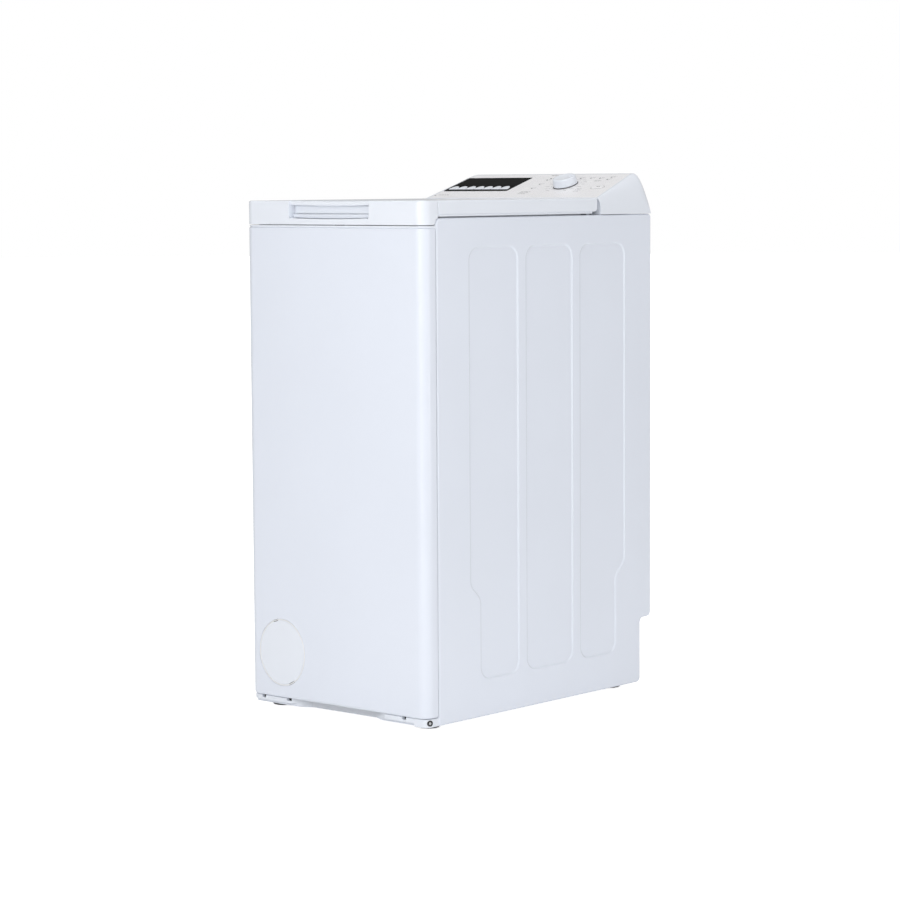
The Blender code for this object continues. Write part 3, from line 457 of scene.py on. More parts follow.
def galvanised():
    """Zinc-coated sheet with its crystal spangle."""
    look, shader = shader_of("galvanised steel", (0.60, 0.61, 0.62), 0.42, 1.0)
    cells = pattern(look, 130, kind="ShaderNodeTexVoronoi")
    split = add_node(look, "ShaderNodeSeparateColor")
    look.node_tree.links.new(cells.outputs["Color"], split.inputs["Color"])
    dark, light = (0.50, 0.515, 0.53), (0.66, 0.67, 0.68)
    feed(look, shader, "Base Color", tint(look, split.outputs["Red"], dark, light, 0.0, 1.0))
    feed(look, shader, "Roughness", remap(look, split.outputs["Green"], 0.34, 0.52, 0.0, 1.0))
    scratches = pattern(look, 300, 4.0, (1, 1, 6))
    bump(look, shader, scratches.outputs["Fac"], 0.00004, 0.5)
    return look


def brushed(name, colour, roughness, stretch):
    """Brushed stainless steel; stretch is finer across the brushing."""
    look, shader = shader_of(name, colour, roughness, 1.0)
    grain = pattern(look, 220, 5.0, stretch)
    dark, light = shade(colour, 0.90), shade(colour, 1.05)
    feed(look, shader, "Base Color", tint(look, grain.outputs["Fac"], dark, light))
    feed(look, shader, "Roughness", remap(look, grain.outputs["Fac"], roughness - 0.06, roughness + 0.08))
    bump(look, shader, grain.outputs["Fac"], 0.00005, 0.5)
    return look


def glass_filled():
    """Glass-filled polypropylene: mottled, with short pale fibres."""
    look, shader = shader_of("grey plastic", (0.42, 0.44, 0.45), 0.55)
    mottle = pattern(look, 70, 6.0)
    dark, light = (0.37, 0.39, 0.40), (0.47, 0.49, 0.50)
    feed(look, shader, "Base Color", tint(look, mottle.outputs["Fac"], dark, light))
    fibres = pattern(look, 900, 3.0, (1, 3, 1))
    feed(look, shader, "Roughness", remap(look, fibres.outputs["Fac"], 0.46, 0.64))
    bump(look, shader, fibres.outputs["Fac"], 0.00008, 0.7)
    return look


def concrete():
    """Cast concrete, with sand and stones in it."""
    look, shader = shader_of("concrete", (0.42, 0.41, 0.39), 0.92)
    stones = pattern(look, 190, kind="ShaderNodeTexVoronoi")
    sand = pattern(look, 260, 8.0)
    dark, light = (0.30, 0.29, 0.275), (0.52, 0.51, 0.485)
    feed(look, shader, "Base Color", tint(look, sand.outputs["Fac"], dark, light))
    coarse = bump(look, shader, stones.outputs["Distance"], 0.0006, 0.5)
    bump(look, shader, sand.outputs["Fac"], 0.0003, 0.8, under=coarse)
    return look


def circuit():
    """Solder mask over copper tracks, which show as paler lines."""
    look, shader = shader_of("circuit board", (0.04, 0.20, 0.09), 0.35, Coat_Weight=0.3)
    tracks = pattern(look, 240, kind="ShaderNodeTexBrick")
    tracks.inputs["Mortar Size"].default_value = 0.03
    dark, light = (0.03, 0.17, 0.075), (0.08, 0.30, 0.13)
    feed(look, shader, "Base Color", tint(look, tracks.outputs["Fac"], dark, light, 0.4, 0.6))
    bump(look, shader, tracks.outputs["Fac"], 0.00004, 1.0)
    return look


def window_black():
    """A tinted window that hardly mirrors the room, with a few fine wipe marks."""
    look, shader = shader_of("display black", (0.0235, 0.0240, 0.0238), 0.34, Specular_IOR_Level=0.0)
    wipes = pattern(look, 90, 6.0, (1, 5, 1))
    feed(look, shader, "Roughness", remap(look, wipes.outputs["Fac"], 0.26, 0.34))
    dark, light = (0.0225, 0.0230, 0.0228), (0.0245, 0.0250, 0.0248)
    feed(look, shader, "Base Color", tint(look, wipes.outputs["Fac"], dark, light))
    return look


WHITE = (0.800, 0.835, 0.900)
LOOKS = {
    "cabinet_enamel": enamel(),
    "galvanised_steel": galvanised(),
    "white_plastic": moulded("white plastic", WHITE, 0.36, 0.008, 900, 0.00002,
                             Coat_Weight=0.6, Coat_Roughness=0.08),
    "fascia_plastic": moulded("fascia plastic", (0.845, 0.840, 0.857), 0.30, 0.005, 2600, 0.00001),
    "display_black": window_black(),
    "circuit_board": circuit(),
    "grey_plastic": glass_filled(),
    "black_plastic": moulded("black plastic", (0.028, 0.028, 0.030), 0.50, 0.10, 1400, 0.00008),
    "rubber_seal": moulded("rubber", (0.17, 0.17, 0.175), 0.78, 0.06, 700, 0.00010),
    "stainless_steel": brushed("stainless steel", (0.66, 0.67, 0.68), 0.26, (1, 14, 14)),
    "concrete": concrete(),
}
INK = moulded("print ink", (0.06, 0.06, 0.07), 0.45, 0.05, 2400, 0.00002)
PALE_INK = moulded("pale print ink", (0.24, 0.24, 0.25), 0.45, 0.03, 2400, 0.00002)
# White print for the fascia's pills; the filter rim also uses it, as a painted highlight.
WHITE_PRINT_AND_HIGHLIGHT = moulded("white print and painted highlight", (0.86, 0.86, 0.87), 0.42, 0.02, 2400, 0.00002)


def dress_frame():
    """Gives every CAD node its slot's procedural material."""
    slots = {part["node"]: part["material_slot"] for part in frame["record"]["subparts"]}
    for name, node in frame["nodes"].items():
        node.data.materials.clear()
        node.data.materials.append(LOOKS[slots[name]])


# ---------------------------------------------------------------- camera, light and floor
def camera():
    """The view from the front right, level with the top, through a long lens."""
    yaw, pitch, roll = radians(-41.137), radians(-5.401), radians(-0.347)
    ahead = Vector((cos(pitch) * sin(yaw), cos(pitch) * cos(yaw), sin(pitch)))
    right = ahead.cross(Vector((0, 0, 1))).normalized()
    up = right.cross(ahead)
    tilted_right = right * cos(roll) + up * sin(roll)
    tilted_up = up * cos(roll) - right * sin(roll)
    lens = bpy.data.cameras.new("camera")
    lens.lens = 113.1
    lens.sensor_width = 36.0
    made = bpy.data.objects.new("camera", lens)
    bpy.context.scene.collection.objects.link(made)
    turn = Matrix((tilted_right, tilted_up, -ahead)).transposed()
    made.matrix_world = Matrix.Translation((3.191, -3.662, 0.885)) @ turn.to_4x4()
    bpy.context.scene.camera = made


def area_light(name, place, target, size, power):
    """A rectangular lamp that lights the machine but doesn't show in the picture."""
    data = bpy.data.lights.new(name, "AREA")
    data.shape = "RECTANGLE"
    data.size, data.size_y = size
    data.energy = power
    lamp = bpy.data.objects.new(name, data)
    bpy.context.scene.collection.objects.link(lamp)
    lamp.location = place
    lamp.rotation_euler = (Vector(target) - Vector(place)).to_track_quat("-Z", "Y").to_euler()
    lamp.visible_camera = False


def around(angle, distance, height):
    """A place round the machine; the angle runs from the front towards the right side."""
    return distance * sin(radians(angle)), -distance * cos(radians(angle)), height


def studio():
    """A white room with soft lamps round the machine and two tall strip lamps for its edges."""
    world = bpy.data.worlds.new("studio")
    world.use_nodes = True
    bpy.context.scene.world = world
    sky = world.node_tree.nodes["Background"]
    sky.inputs["Color"].default_value = (1, 1, 1, 1)
    seen = add_node(world, "ShaderNodeLightPath")
    world.node_tree.links.new(remap(world, seen.outputs["Is Camera Ray"], 0.50, 1.0, 0.0, 1.0),
                              sky.inputs["Strength"])
    area_light("key lamp", around(48, 3.2, 1.8), (0, 0, 0.5), (1.5, 1.5), 21.5)
    area_light("fill lamp", around(-25, 3.4, 1.0), (0, -0.3, 0.6), (2.2, 2.2), 1.2)
    area_light("near lamp", (0.50, -1.7, 1.15), (0.12, -0.3, 0.80), (0.7, 0.7), 4.9)
    area_light("front strip", around(20, 2.6, 0.85), (0.1, -0.25, 0.5), (0.12, 1.7), 4.5)
    area_light("side strip", around(104, 2.6, 0.85), (0.2, 0, 0.5), (0.14, 1.7), 4.2)
    area_light("top lamp", (0.2, -0.2, 3.2), (0, 0, 0.8), (1.8, 1.8), 21)
    bpy.context.scene.view_settings.view_transform = "Standard"
    bpy.context.scene.view_settings.look = "None"


def floor():
    """A pale floor that reads as white round the machine, with a soft shadow under it."""
    look, shader = shader_of("pale floor", (0.90, 0.90, 0.90), 0.6)
    shader.inputs["Emission Color"].default_value = (1, 1, 1, 1)
    seen = add_node(look, "ShaderNodeLightPath")
    feed(look, shader, "Emission Strength", remap(look, seen.outputs["Is Camera Ray"], 0.13, 0.85, 0.0, 1.0))
    dark, light = (0.895, 0.895, 0.895), (0.905, 0.905, 0.905)
    feed(look, shader, "Base Color", tint(look, pattern(look, 3, 2.0).outputs["Fac"], dark, light))
    ground = plain_object("floor", prism("z", circle((0, 0), 30.0, 64), -0.02, -0.0005))
    ground.data.materials.append(look)


# ---------------------------------------------------------------- cabinet
def fillet(start, end, inset_start, inset_end, steps=5):
    """(along, inset) levels of a rounded edge, from a wall towards a face."""
    levels = []
    for step in range(steps + 1):
        turn = radians(90 * step / steps)
        inset = inset_start + (inset_end - inset_start) * (1 - cos(turn))
        levels.append((start + (end - start) * sin(turn), inset))
    return levels


def orient(shape, outward):
    """Turns a sheet's faces so that most of its area looks outward."""
    bmesh.ops.recalc_face_normals(shape, faces=shape.faces)
    if sum(face.calc_area() * face.normal.dot(outward) for face in shape.faces) < 0:
        bmesh.ops.reverse_faces(shape, faces=shape.faces)
    return shape


def recesses():
    """Corners of the three pressed recesses in (y, z); the outer two narrow near the bottom."""
    low, high, radius, middle = 0.069, 0.780, 0.021, 0.018
    outer, inner, narrow, step_high, step_low = 0.2055, 0.0828, 0.1800, 0.2275, 0.2035

    def stepped(sign):
        corners = [(middle + sign * inner, low, radius), (middle + sign * narrow, low, radius),
                   (middle + sign * narrow, step_low, 0.024), (middle + sign * outer, step_high, 0.024),
                   (middle + sign * outer, high, radius), (middle + sign * inner, high, radius)]
        return corners if sign > 0 else corners[::-1]

    centre = [(middle - 0.0608, low, radius), (middle + 0.0608, low, radius), (middle + 0.0608, high, radius),
              (middle - 0.0608, high, radius)]
    return [stepped(-1), centre, stepped(1)]


def pressed_sheet(axis, border, levels, pressings, face, inward, depth, slope):
    """A sheet inside a border with soft-walled pressings; levels carry its rolled edge outwards."""
    rows = [[at(axis, a, b, along) for a, b in rounded(border, inset)] for along, inset in levels]
    shape, loops = sheet_of(rows)
    borders = [loops[-1]]
    for corners in pressings:
        rings = []
        for step in range(9):
            along = face + inward * depth * (1 - cos(pi * step / 8)) / 2
            rings.append([at(axis, a, b, along) for a, b in rounded(corners, slope * (step / 8 - 0.5), 10)])
        verts = [[shape.verts.new(point) for point in ring] for ring in rings]
        for lower, upper in zip(verts, verts[1:]):
            for k in range(len(lower)):
                nxt = (k + 1) % len(lower)
                shape.faces.new((lower[k], lower[nxt], upper[nxt], upper[k]))
        shape.faces.new(verts[-1])
        borders.append(verts[0])
    edges = []
    for ring in borders:
        for vert, nxt in zip(ring, ring[1:] + ring[:1]):
            edges.append(shape.edges.get((vert, nxt)) or shape.edges.new((vert, nxt)))
    bmesh.ops.triangle_fill(shape, edges=edges, use_beauty=True, use_dissolve=False)
    return shape


def side_skin(side):
    """A pressed and folded sheet: rolled edges, and recesses with soft walls."""
    name = "side_panel_right" if side > 0 else "side_panel_left"
    front = side_low.y + 0.0009
    border = [(front, side_low.z, 0.003), (NOTCH_Y, side_low.z, 0.009), (NOTCH_Y, NOTCH_Z, 0.009),
              (BACK, NOTCH_Z, 0.009), (BACK, side_high.z, 0.006), (front, side_high.z, 0.011)]
    roll, fold = 0.0042, 0.012
    levels = [(side * (HALF - fold), 0.0)]
    levels += [(side * x, inset) for x, inset in fillet(HALF - roll, HALF, 0.0, roll, 7)]
    shape = pressed_sheet("x", border, levels, recesses(), side * HALF, -side, 0.0019, 0.0040)
    orient(shape, Vector((side, 0, 0)))
    made = piece(f"{name}_skin", shape, "cabinet", "cabinet_enamel", [name], 60)
    flat_shading(thicken(made, 0.0009))


def filter_oval(shape):
    """Narrows a round shape about the filter cover's centre, because the cover is slightly oval."""
    to_centre = Matrix.Translation((COVER[0], 0, COVER[1]))
    return moved(shape, to_centre @ Matrix.Diagonal((COVER_OVAL, 1, 1, 1)) @ to_centre.inverted())


def filter_notch(outline, angle, near, far):
    """An outline in front of the filter opening's edge, turned to the angle on it."""
    x, z = arc(COVER, COVER_RADIUS, angle, angle, 1)[0]
    turn = Matrix.Translation((x, 0, z)) @ Matrix.Rotation(radians(90 - angle), 4, "Y")
    return moved(prism("y", outline, near, far), turn)


def front_skin():
    """The folded front sheet with its filter opening and rolled top and bottom edges."""
    rear, top_roll, bottom_roll = panel_high.y - 0.0004, 0.0030, 0.0050
    low, high = panel_low.z, panel_high.z

    def run(inset):
        bend = CORNER - inset
        left = arc((-HALF + CORNER, FRONT + CORNER), bend, 180, 270, 14)
        right = arc((HALF - CORNER, FRONT + CORNER), bend, 270, 360, 14)
        return [(-HALF + inset, rear), *left, *right, (HALF - inset, rear)]

    levels = [(low, 0.0085)] + fillet(low + bottom_roll, low, 0.0, bottom_roll)[::-1]
    levels += fillet(high - top_roll, high, 0.0, top_roll) + [(high, 0.0085)]
    rows = [[at("z", x, y, z) for x, y in run(inset)] for z, inset in levels]
    shape, _ = sheet_of(rows, closed_rings=False)
    orient(shape, Vector((0, -1, 0)))
    made = piece("front_panel_skin", shape, "cabinet", "cabinet_enamel", ["front_panel"], 60)
    apply_modifiers(thicken(made, 0.0009))
    radius = COVER_RADIUS + 0.0011
    boolean(made, filter_oval(cylinder("y", COVER, radius, FRONT - 0.01, FRONT + 0.012, 96)))
    flat_shading(bevel(made, 0.0006, 3, 50))
    collar = [(0.0042, radius + 0.010), (0.0042, 0.0470), (0.0060, 0.0450), (0.0116, 0.0445),
              (0.0116, 0.0425), (0.0056, 0.0430), (0.0030, 0.0455), (0.0012, 0.0480),
              (0.0012, radius + 0.010)]
    collar = filter_oval(lathe("y", COVER, beyond(FRONT, collar), 96))
    piece("filter_collar", collar, "cabinet", "white_plastic")
    rim = ((0.0014, 0.0026), (0.0005, 0.0024), (0.0001, 0.0017), (0.0001, 0.0012), (0.0005, 0.0006),
           (0.0014, 0.0004))
    rim = beyond(FRONT, [(depth, radius - inset) for depth, inset in rim])
    rim = filter_oval(lathe("y", COVER, rim, 96))
    # A real rim round the filter opening, made whiter than the panel: a painted highlight ring.
    piece("filter_rim_painted_highlight", rim, "cabinet", "white_plastic", smooth=60, look=WHITE_PRINT_AND_HIGHLIGHT)
    # Black films behind the cover's two notches: painted shade in the gaps.
    slots = []
    for half, angle in zip((0.0055, 0.0075), COVER_NOTCHES):
        outline = rectangle((-half, -0.0022), (half, 0.0008), 0.0008)
        slots.append(filter_notch(outline, angle, FRONT + 0.0006, FRONT + 0.0022))
    piece("filter_notch_painted_shade", filter_oval(merged(*slots)), "cabinet", "black_plastic")


def cover_skin():
    """The filter cover: a slightly domed disc with a rolled rim and two coin notches."""
    radius, round_edge = COVER_RADIUS - 0.0015, 0.0018
    front, back = cover_low.y, cover_high.y
    dome = [(0.00045 * (k / 6) ** 2, (radius - 0.0022) * k / 6) for k in range(7)]
    rim = [(0.0004 + round_edge * (1 - cos(radians(a))), radius - round_edge + round_edge * sin(radians(a)))
           for a in (15, 35, 55, 75, 90)]
    profile = beyond(front, dome + rim) + [(back, radius), (back, radius - round_edge),
                                           (front + 0.0026, radius - 0.0030), (front + 0.0026, 0.0)]
    shape = filter_oval(lathe("y", COVER, profile, 96, join_ends=False))
    made = piece("filter_cover_skin", shape, "filter_door", "white_plastic", ["filter_cover"], 40)
    for half, angle in zip((0.0060, 0.0080), COVER_NOTCHES):
        outline = rectangle((-half, -0.0026), (half, 0.0040), 0.0010)
        boolean(made, filter_oval(filter_notch(outline, angle, front - 0.002, back + 0.001)))
    bevel(made, 0.0003, 2, 45)
    for angle in (20, 160, 270):
        x, z = arc(COVER, 0.045, angle, angle, 1)[0]
        clip = rectangle((x - 0.004, z - 0.0012), (x + 0.004, z + 0.0012), 0.0006)
        piece(f"filter_cover_clip_{angle}", prism("y", clip, front + 0.0024, back + 0.0030), "filter_door",
              "white_plastic")


# ---------------------------------------------------------------- lid
def tray(corners, low, high, wall, edge, inner_top):
    """A moulded tray turned down: eased lower edge, rounded upper edge, walls of one thickness."""
    levels = [(inner_top, wall), (low, wall), (low, 0.0007), (low + 0.0003, 0.0002), (low + 0.0009, 0.0)]
    levels += fillet(high - edge, high, 0.0, edge, 7)
    return solid_of([[at("z", x, y, z) for x, y in rounded(corners, inset, 12)] for z, inset in levels])


def lid_skins():
    """The lid's main panel and its front grip strip, two mouldings that meet at a fine groove."""
    groove, wall, inner_top = 0.00050, 0.0026, lid_high.z - 0.0030
    panel = [(-HALF, LID_SEAM + groove, 0.0010), (HALF, LID_SEAM + groove, 0.0010),
             (HALF, lid_high.y, 0.004), (-HALF, lid_high.y, 0.004)]
    shape = tray(panel, LID_SIDE_LOW, lid_high.z, wall, 0.0028, inner_top)
    made = piece("lid_panel", shape, "lid", "white_plastic", ["lid_shell"], 40)
    flange = [(-HALF + 0.0022, LID_SEAM + 0.002, 0.0010), (HALF - 0.0022, LID_SEAM + 0.002, 0.0010),
              (HALF - 0.0022, lid_high.y - 0.0120, 0.002), (-HALF + 0.0022, lid_high.y - 0.0120, 0.002)]
    levels = ((0.8312, 0.0), (0.8400, 0.0), (0.8400, 0.0015), (0.8312, 0.0015))
    rings = [[at("z", x, y, z) for x, y in rounded(flange, inset, 4)] for z, inset in levels]
    piece("lid_flange", solid_of(rings, join_ends=True), "lid", "white_plastic")
    y, z = lid_high.y, LID_SIDE_LOW
    wedge = [(y - 0.0130, z - 0.004), (y + 0.003, z - 0.004), (y + 0.003, z + 0.0105),
             (y - 0.0002, z + 0.0085), (y - 0.0014, z + 0.0055), (y - 0.0035, z + 0.0028),
             (y - 0.0065, z + 0.0010), (y - 0.0100, z + 0.0002)]
    boolean(made, prism("x", wedge, -HALF - 0.01, HALF + 0.01))
    for side in (-1, 1):
        x_low, x_high = sorted((side * 0.1735, side * 0.1865))
        boolean(made, block((x_low, y - 0.008, z - 0.01), (x_high, y + 0.01, lid_high.z - 0.003)))
    flat_shading(bevel(made, 0.0005, 2, 50))
    piece("lid_hinge_pins", merged(*(hinge_pin(side) for side in (-1, 1))), "lid", "white_plastic")
    grip_strip(wall, inner_top, groove)
    lid_underside()


def hinge_pin(side):
    """A pin on the lid's hinge axis, from its lug to the machine's side."""
    low, high = sorted((side * 0.1742, side * (HALF - 0.0030)))
    return cylinder("x", (HINGE_Y, HINGE_Z), 0.0025, low, high, 24)


def grip_strip(wall, inner_top, groove):
    """The front strip with its apron and the hand recess."""
    strip = [(-HALF, FRONT, CORNER), (HALF, FRONT, CORNER), (HALF, LID_SEAM - groove, 0.0012),
             (-HALF, LID_SEAM - groove, 0.0012)]
    shape = tray(strip, lid_low.z, lid_high.z, wall, 0.0032, inner_top)
    made = piece("lid_grip_strip", shape, "lid", "white_plastic", ["lid_shell"], 40)
    heel = [(-0.2765, lid_low.z - 0.004), *arc((-0.2765, 0.8235), 0.0059, 270, 350, 6),
            *arc((-0.2587, 0.8180), 0.0123, 153, 106, 8), (LID_SEAM + 0.004, 0.8302),
            (LID_SEAM + 0.004, lid_low.z - 0.004)]
    boolean(made, prism("x", heel, -HALF - 0.01, HALF + 0.01))
    boolean(made, block((-0.190, -0.2800, lid_low.z - 0.005), (0.190, LID_SEAM + 0.004, LID_SIDE_LOW)))
    left, right, wall = GRIP_X - GRIP_HALF, GRIP_X + GRIP_HALF, 0.0028
    box = block((left - wall, FRONT + 0.0012, GRIP_LOW - 0.0040),
                (right + wall, -0.2810, lid_high.z - 0.0012))
    boolean(made, box, "UNION")
    for top, rear in ((GRIP_HIGH, GRIP_REAR), (lid_high.z + 0.010, FRONT + 0.0150)):
        boolean(made, prism("y", recess_mouth(GRIP_HALF, GRIP_LOW, top), FRONT - 0.010, rear))
    flat_shading(bevel(made, 0.0007, 3, 40))
    ledge = recess_mouth(GRIP_HALF - 0.0006, GRIP_LOW + 0.0010, GRIP_LOW + 0.0079)
    ledge = prism("y", ledge, GRIP_REAR - 0.0040, GRIP_REAR - 0.0001)
    bevel(piece("lid_grip_ledge", ledge, "lid", "white_plastic"), 0.0008, 3, 40)
    plate = block((left + 0.0034, GRIP_REAR - 0.0012, GRIP_LOW + 0.0092),
                  (right - 0.0006, GRIP_REAR - 0.0001, GRIP_HIGH - 0.0004))
    bevel(piece("lid_grip_plate", plate, "lid", "white_plastic"), 0.0004, 2, 40)
    grip_lip()


def recess_mouth(half, low, high):
    """The hand recess from in front: its lower edge bows down a little in the middle."""
    sag, corner = 0.0016, 0.0045
    bow = []
    for k in range(17):
        x = (half - corner) * (k / 8 - 1)
        bow.append((GRIP_X + x, low + sag * (x / half) ** 2))
    left = arc((GRIP_X - half + corner, low + corner), corner, 180, 262, 6)
    right = arc((GRIP_X + half - corner, low + corner), corner, 278, 360, 6)
    return left + bow + right + [(GRIP_X + half, high), (GRIP_X - half, high)]


def grip_lip():
    """The rounded lip over the recess, bowed forward and slightly down in the middle."""
    rings = []
    for k in range(25):
        x = (GRIP_HALF - 0.0002) * (k / 12 - 1)
        bow = 1 - (x / GRIP_HALF) ** 2
        front = FRONT + 0.0030 - 0.0012 * bow
        low = lid_high.z - 0.0080 - 0.0010 * bow
        top = lid_high.z - 0.0006
        middle, tall = (low + top) / 2, (top - low) / 2
        nose = []
        for a in range(-90, 91, 15):
            nose.append((front + 0.0042 * (1 - cos(radians(a))), middle + tall * sin(radians(a))))
        ring = [(GRIP_REAR, low + 0.0004), *nose, (GRIP_REAR, top)]
        rings.append([at("x", y, z, GRIP_X + x) for y, z in ring])
    piece("lid_grip_lip", solid_of(rings), "lid", "white_plastic", ["lid_shell"], 50)


def lid_underside():
    """The inner panel: a shallow tray with a low step round its middle, seen when the lid is up."""
    low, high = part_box("lid_liner")
    corners = [(low.x, low.y, 0.012), (high.x, low.y, 0.012), (high.x, high.y, 0.012), (low.x, high.y, 0.012)]
    levels = [(low.z + 0.0025, 0.0105), (high.z, 0.0025), (high.z, 0.0)]
    levels += fillet(low.z + 0.004, low.z, 0.0, 0.004, 6)
    levels += [(low.z, 0.020), (low.z + 0.0008, 0.0225), (low.z + 0.0008, 0.0300)]
    rings = [[at("z", x, y, z) for x, y in rounded(corners, inset, 8)] for z, inset in levels]
    flat_shading(piece("lid_liner_skin", solid_of(rings), "lid", "white_plastic", ["lid_liner"], 40))
    screws = []
    for x in (-0.150, 0.150):
        for y in (-0.235, 0.095):
            screws.append(screw_head("z", (x, y), low.z + 0.0002, low.z - 0.0012, 0.0036))
    piece("lid_liner_screws", merged(*screws), "lid", "stainless_steel")


def screw_head(axis, centre, base, top, radius):
    """A pan-head screw with a dimple in its crown, from its base to its crown."""
    rise = top - base
    profile = [(base, 0.0), (base, radius), (base + rise * 0.35, radius * 0.97),
               (base + rise * 0.75, radius * 0.72), (top, radius * 0.30), (top, radius * 0.26),
               (top - rise * 0.45, radius * 0.16), (top - rise * 0.45, 0.0)]
    return lathe(axis, centre, profile, 20, join_ends=False)


# ---------------------------------------------------------------- console
def on_face(shape):
    """Moves a shape from the console face's own (x, s, height) frame to the world."""
    return moved(shape, Matrix.Translation((0, FACE_Y, FACE_Z)) @ Matrix.Rotation(FACE_TILT, 4, "X"))


def console_skin():
    """The console's shell: a sloping top with a bullnose crest, and ends that roll down to the sides."""
    low = console_low.z
    lip, front = 0.0038, FACE_Y + 0.0040
    slope = tan(FACE_TILT)
    profile = [(front, low), (front, FACE_Z - 0.0027), (FACE_Y + 0.0004, FACE_Z - 0.0027),
               (FACE_Y, FACE_Z - 0.0020), (FACE_Y, FACE_Z - 0.0004), (FACE_Y + 0.0006, FACE_Z + 0.0001)]
    profile += [(y, FACE_Z + (y - FACE_Y) * slope) for y in (0.158, 0.180, 0.205, 0.230, 0.250, 0.262, 0.269)]
    profile += [(0.2740, 0.8990), (0.2775, 0.8992), (0.2805, 0.8976), (0.2835, 0.8940), (0.2868, 0.8885),
                (0.2900, 0.8815), (0.2930, 0.8730), (0.2955, 0.8640), (0.2974, 0.8540), (0.2986, 0.8430),
                (0.2990, low)]
    stations = (0, 6, 12, 19, 27, 36, 45, 54, 63, 72, 80)
    rings = []
    for side in (-1, 1):
        for angle in (stations[::-1] if side < 0 else stations):
            ring = []
            for y, z in profile:
                along = min(max((y - FACE_Y) / (CREST_Y - FACE_Y), 0.0), 1.0)
                crease = 0.1960 - 0.0185 * along
                x = crease + (HALF - crease) * sin(radians(angle)) / sin(radians(stations[-1]))
                drawn_back = lip * (1 - cos(radians(angle)) ** 4) if y < front else 0.0
                ring.append(Vector((side * x, y + drawn_back, low + (z - low) * cos(radians(angle)))))
            rings.append(ring)
    made = piece("console_shell", solid_of(rings), "cabinet", "white_plastic", ["console_housing"], 24)
    hollow = [[Vector((p.x * 0.985, min(max(p.y, front + 0.003), 0.2955), max(p.z - 0.003, low - 0.004)))
               for p in ring] for ring in rings[1:-1]]
    for ring in hollow:
        ring[0].z = ring[-1].z = low - 0.004
    boolean(made, solid_of(hollow))
    boolean(made, on_face(prism("z", fascia_corners(0.0), -0.02, 0.01)))
    flat_shading(bevel(made, 0.0004, 2, 60))


def fascia_corners(inset):
    """The fascia's outline, which narrows towards the crest."""
    front, rear = 0.1915 - inset, 0.1765 - inset
    near, far = 0.0030 + inset, 0.1240 - inset
    return [(front, near), (rear, far), (-rear, far), (-front, near)]


def stadium(x, s, size, grow=0.0):
    """An outline with round ends, about a middle on the console face."""
    half_x, half_s = size[0] / 2 + grow, size[1] / 2 + grow
    return rectangle((x - half_x, s - half_s), (x + half_x, s + half_s), min(half_x, half_s) * 0.96)


def arch(x, inset=0.0):
    """An option key from above: a flat front edge and a high rounded back."""
    half, front, foot = BUTTON_SIZE[0] / 2 - inset, BUTTON_S - BUTTON_SIZE[1] / 2 + inset, 0.0020
    rise = BUTTON_SIZE[1] - 2 * inset - foot
    bow = []
    for k in range(19):
        turn = radians(10 * k)
        bow.append((x + half * cos(turn), front + foot + rise * sin(turn)))
    left = arc((x - half + foot / 2, front + foot / 2), foot / 2, 180, 270, 4)
    right = arc((x + half - foot / 2, front + foot / 2), foot / 2, 270, 360, 4)
    return bow + left + right


def fascia_skin():
    """The satin plate that carries the controls, eased where it meets its openings."""
    plate = on_face(prism("z", fascia_corners(0.00025), -0.0030, 0.0))
    made = piece("control_fascia_skin", plate, "cabinet", "fascia_plastic", ["control_fascia"], 30)
    boolean(made, on_face(prism("z", rounded(DISPLAY, -0.0001), -0.01, 0.01)))
    boolean(made, on_face(prism("z", stadium(START_X, START_S, START_SIZE, 0.0003), -0.01, 0.01)))
    boolean(made, on_face(cylinder("z", (KNOB_X, KNOB_S), 0.0046, -0.01, 0.01, 24)))
    flat_shading(bevel(made, 0.0003, 2, 40))
    glass = solid_of([[Vector((x, s, h)) for x, s in rounded(DISPLAY, inset)]
                      for h, inset in ((-0.0025, 0.0), (-0.0004, 0.0), (0.0, 0.0005))])
    made = piece("display_glass", on_face(glass), "cabinet", "display_black", ["display_window"], 30)
    for x in BUTTON_XS:
        boolean(made, on_face(prism("z", arch(x, -0.0002), -0.01, 0.01)))


def pillow(outline_of, low, high, edge, crown):
    """A key cap: straight sides, a rounded edge and a softly crowned top."""
    levels = [(low, 0.0)] + fillet(high - crown - edge, high - crown, 0.0, edge, 5)
    levels += [(high - crown * 0.45, edge + 0.0012), (high - crown * 0.12, edge + 0.0026),
               (high, edge + 0.0042)]
    return solid_of([[Vector((x, s, h)) for x, s in outline_of(inset)] for h, inset in levels])


def keys():
    """Seven option keys, and the start key with its mark and lamp."""
    for number, x in enumerate(BUTTON_XS, start=1):
        cap = pillow(lambda inset: arch(x, inset), -0.0048, 0.0011, 0.0007, 0.0004)
        piece(f"option_key_{number}_cap", on_face(cap), f"option_key_{number}", "white_plastic",
              [f"option_button_{number}"], 60)
    cap = pillow(lambda inset: stadium(START_X, START_S, START_SIZE, -inset), -0.0048, 0.0016, 0.0008, 0.0006)
    piece("start_key_cap", on_face(cap), "start_key", "fascia_plastic", ["start_button"], 60)
    print_on("start_key_mark", play_mark(START_X + 0.002, START_S, 0.0030), "start_key", INK, 0.0016)
    print_on("start_lamp", [circle((START_X - 0.0072, START_S), 0.0012, 20)], "start_key", INK, 0.0014)


def print_on(name, outlines, body, look, height=0.0, slot_name="fascia_plastic"):
    """Printed shapes in the console face's frame, as thin films of ink."""
    films = [prism("z", outline, height - 0.00002, height + 0.00008) for outline in outlines]
    piece(name, on_face(merged(*films)), body, slot_name, look=look)


def play_mark(x, s, size):
    """A play triangle and two pause bars."""
    triangle = [(x - size, s - size * 0.6), (x + size * 0.1, s), (x - size, s + size * 0.6)]
    half, tall = size * 0.12, size * 0.6
    middles = [x + size * k for k in (0.5, 1.1)]
    return [triangle, *(rectangle((m - half, s - tall), (m + half, s + tall), 0.0001) for m in middles)]


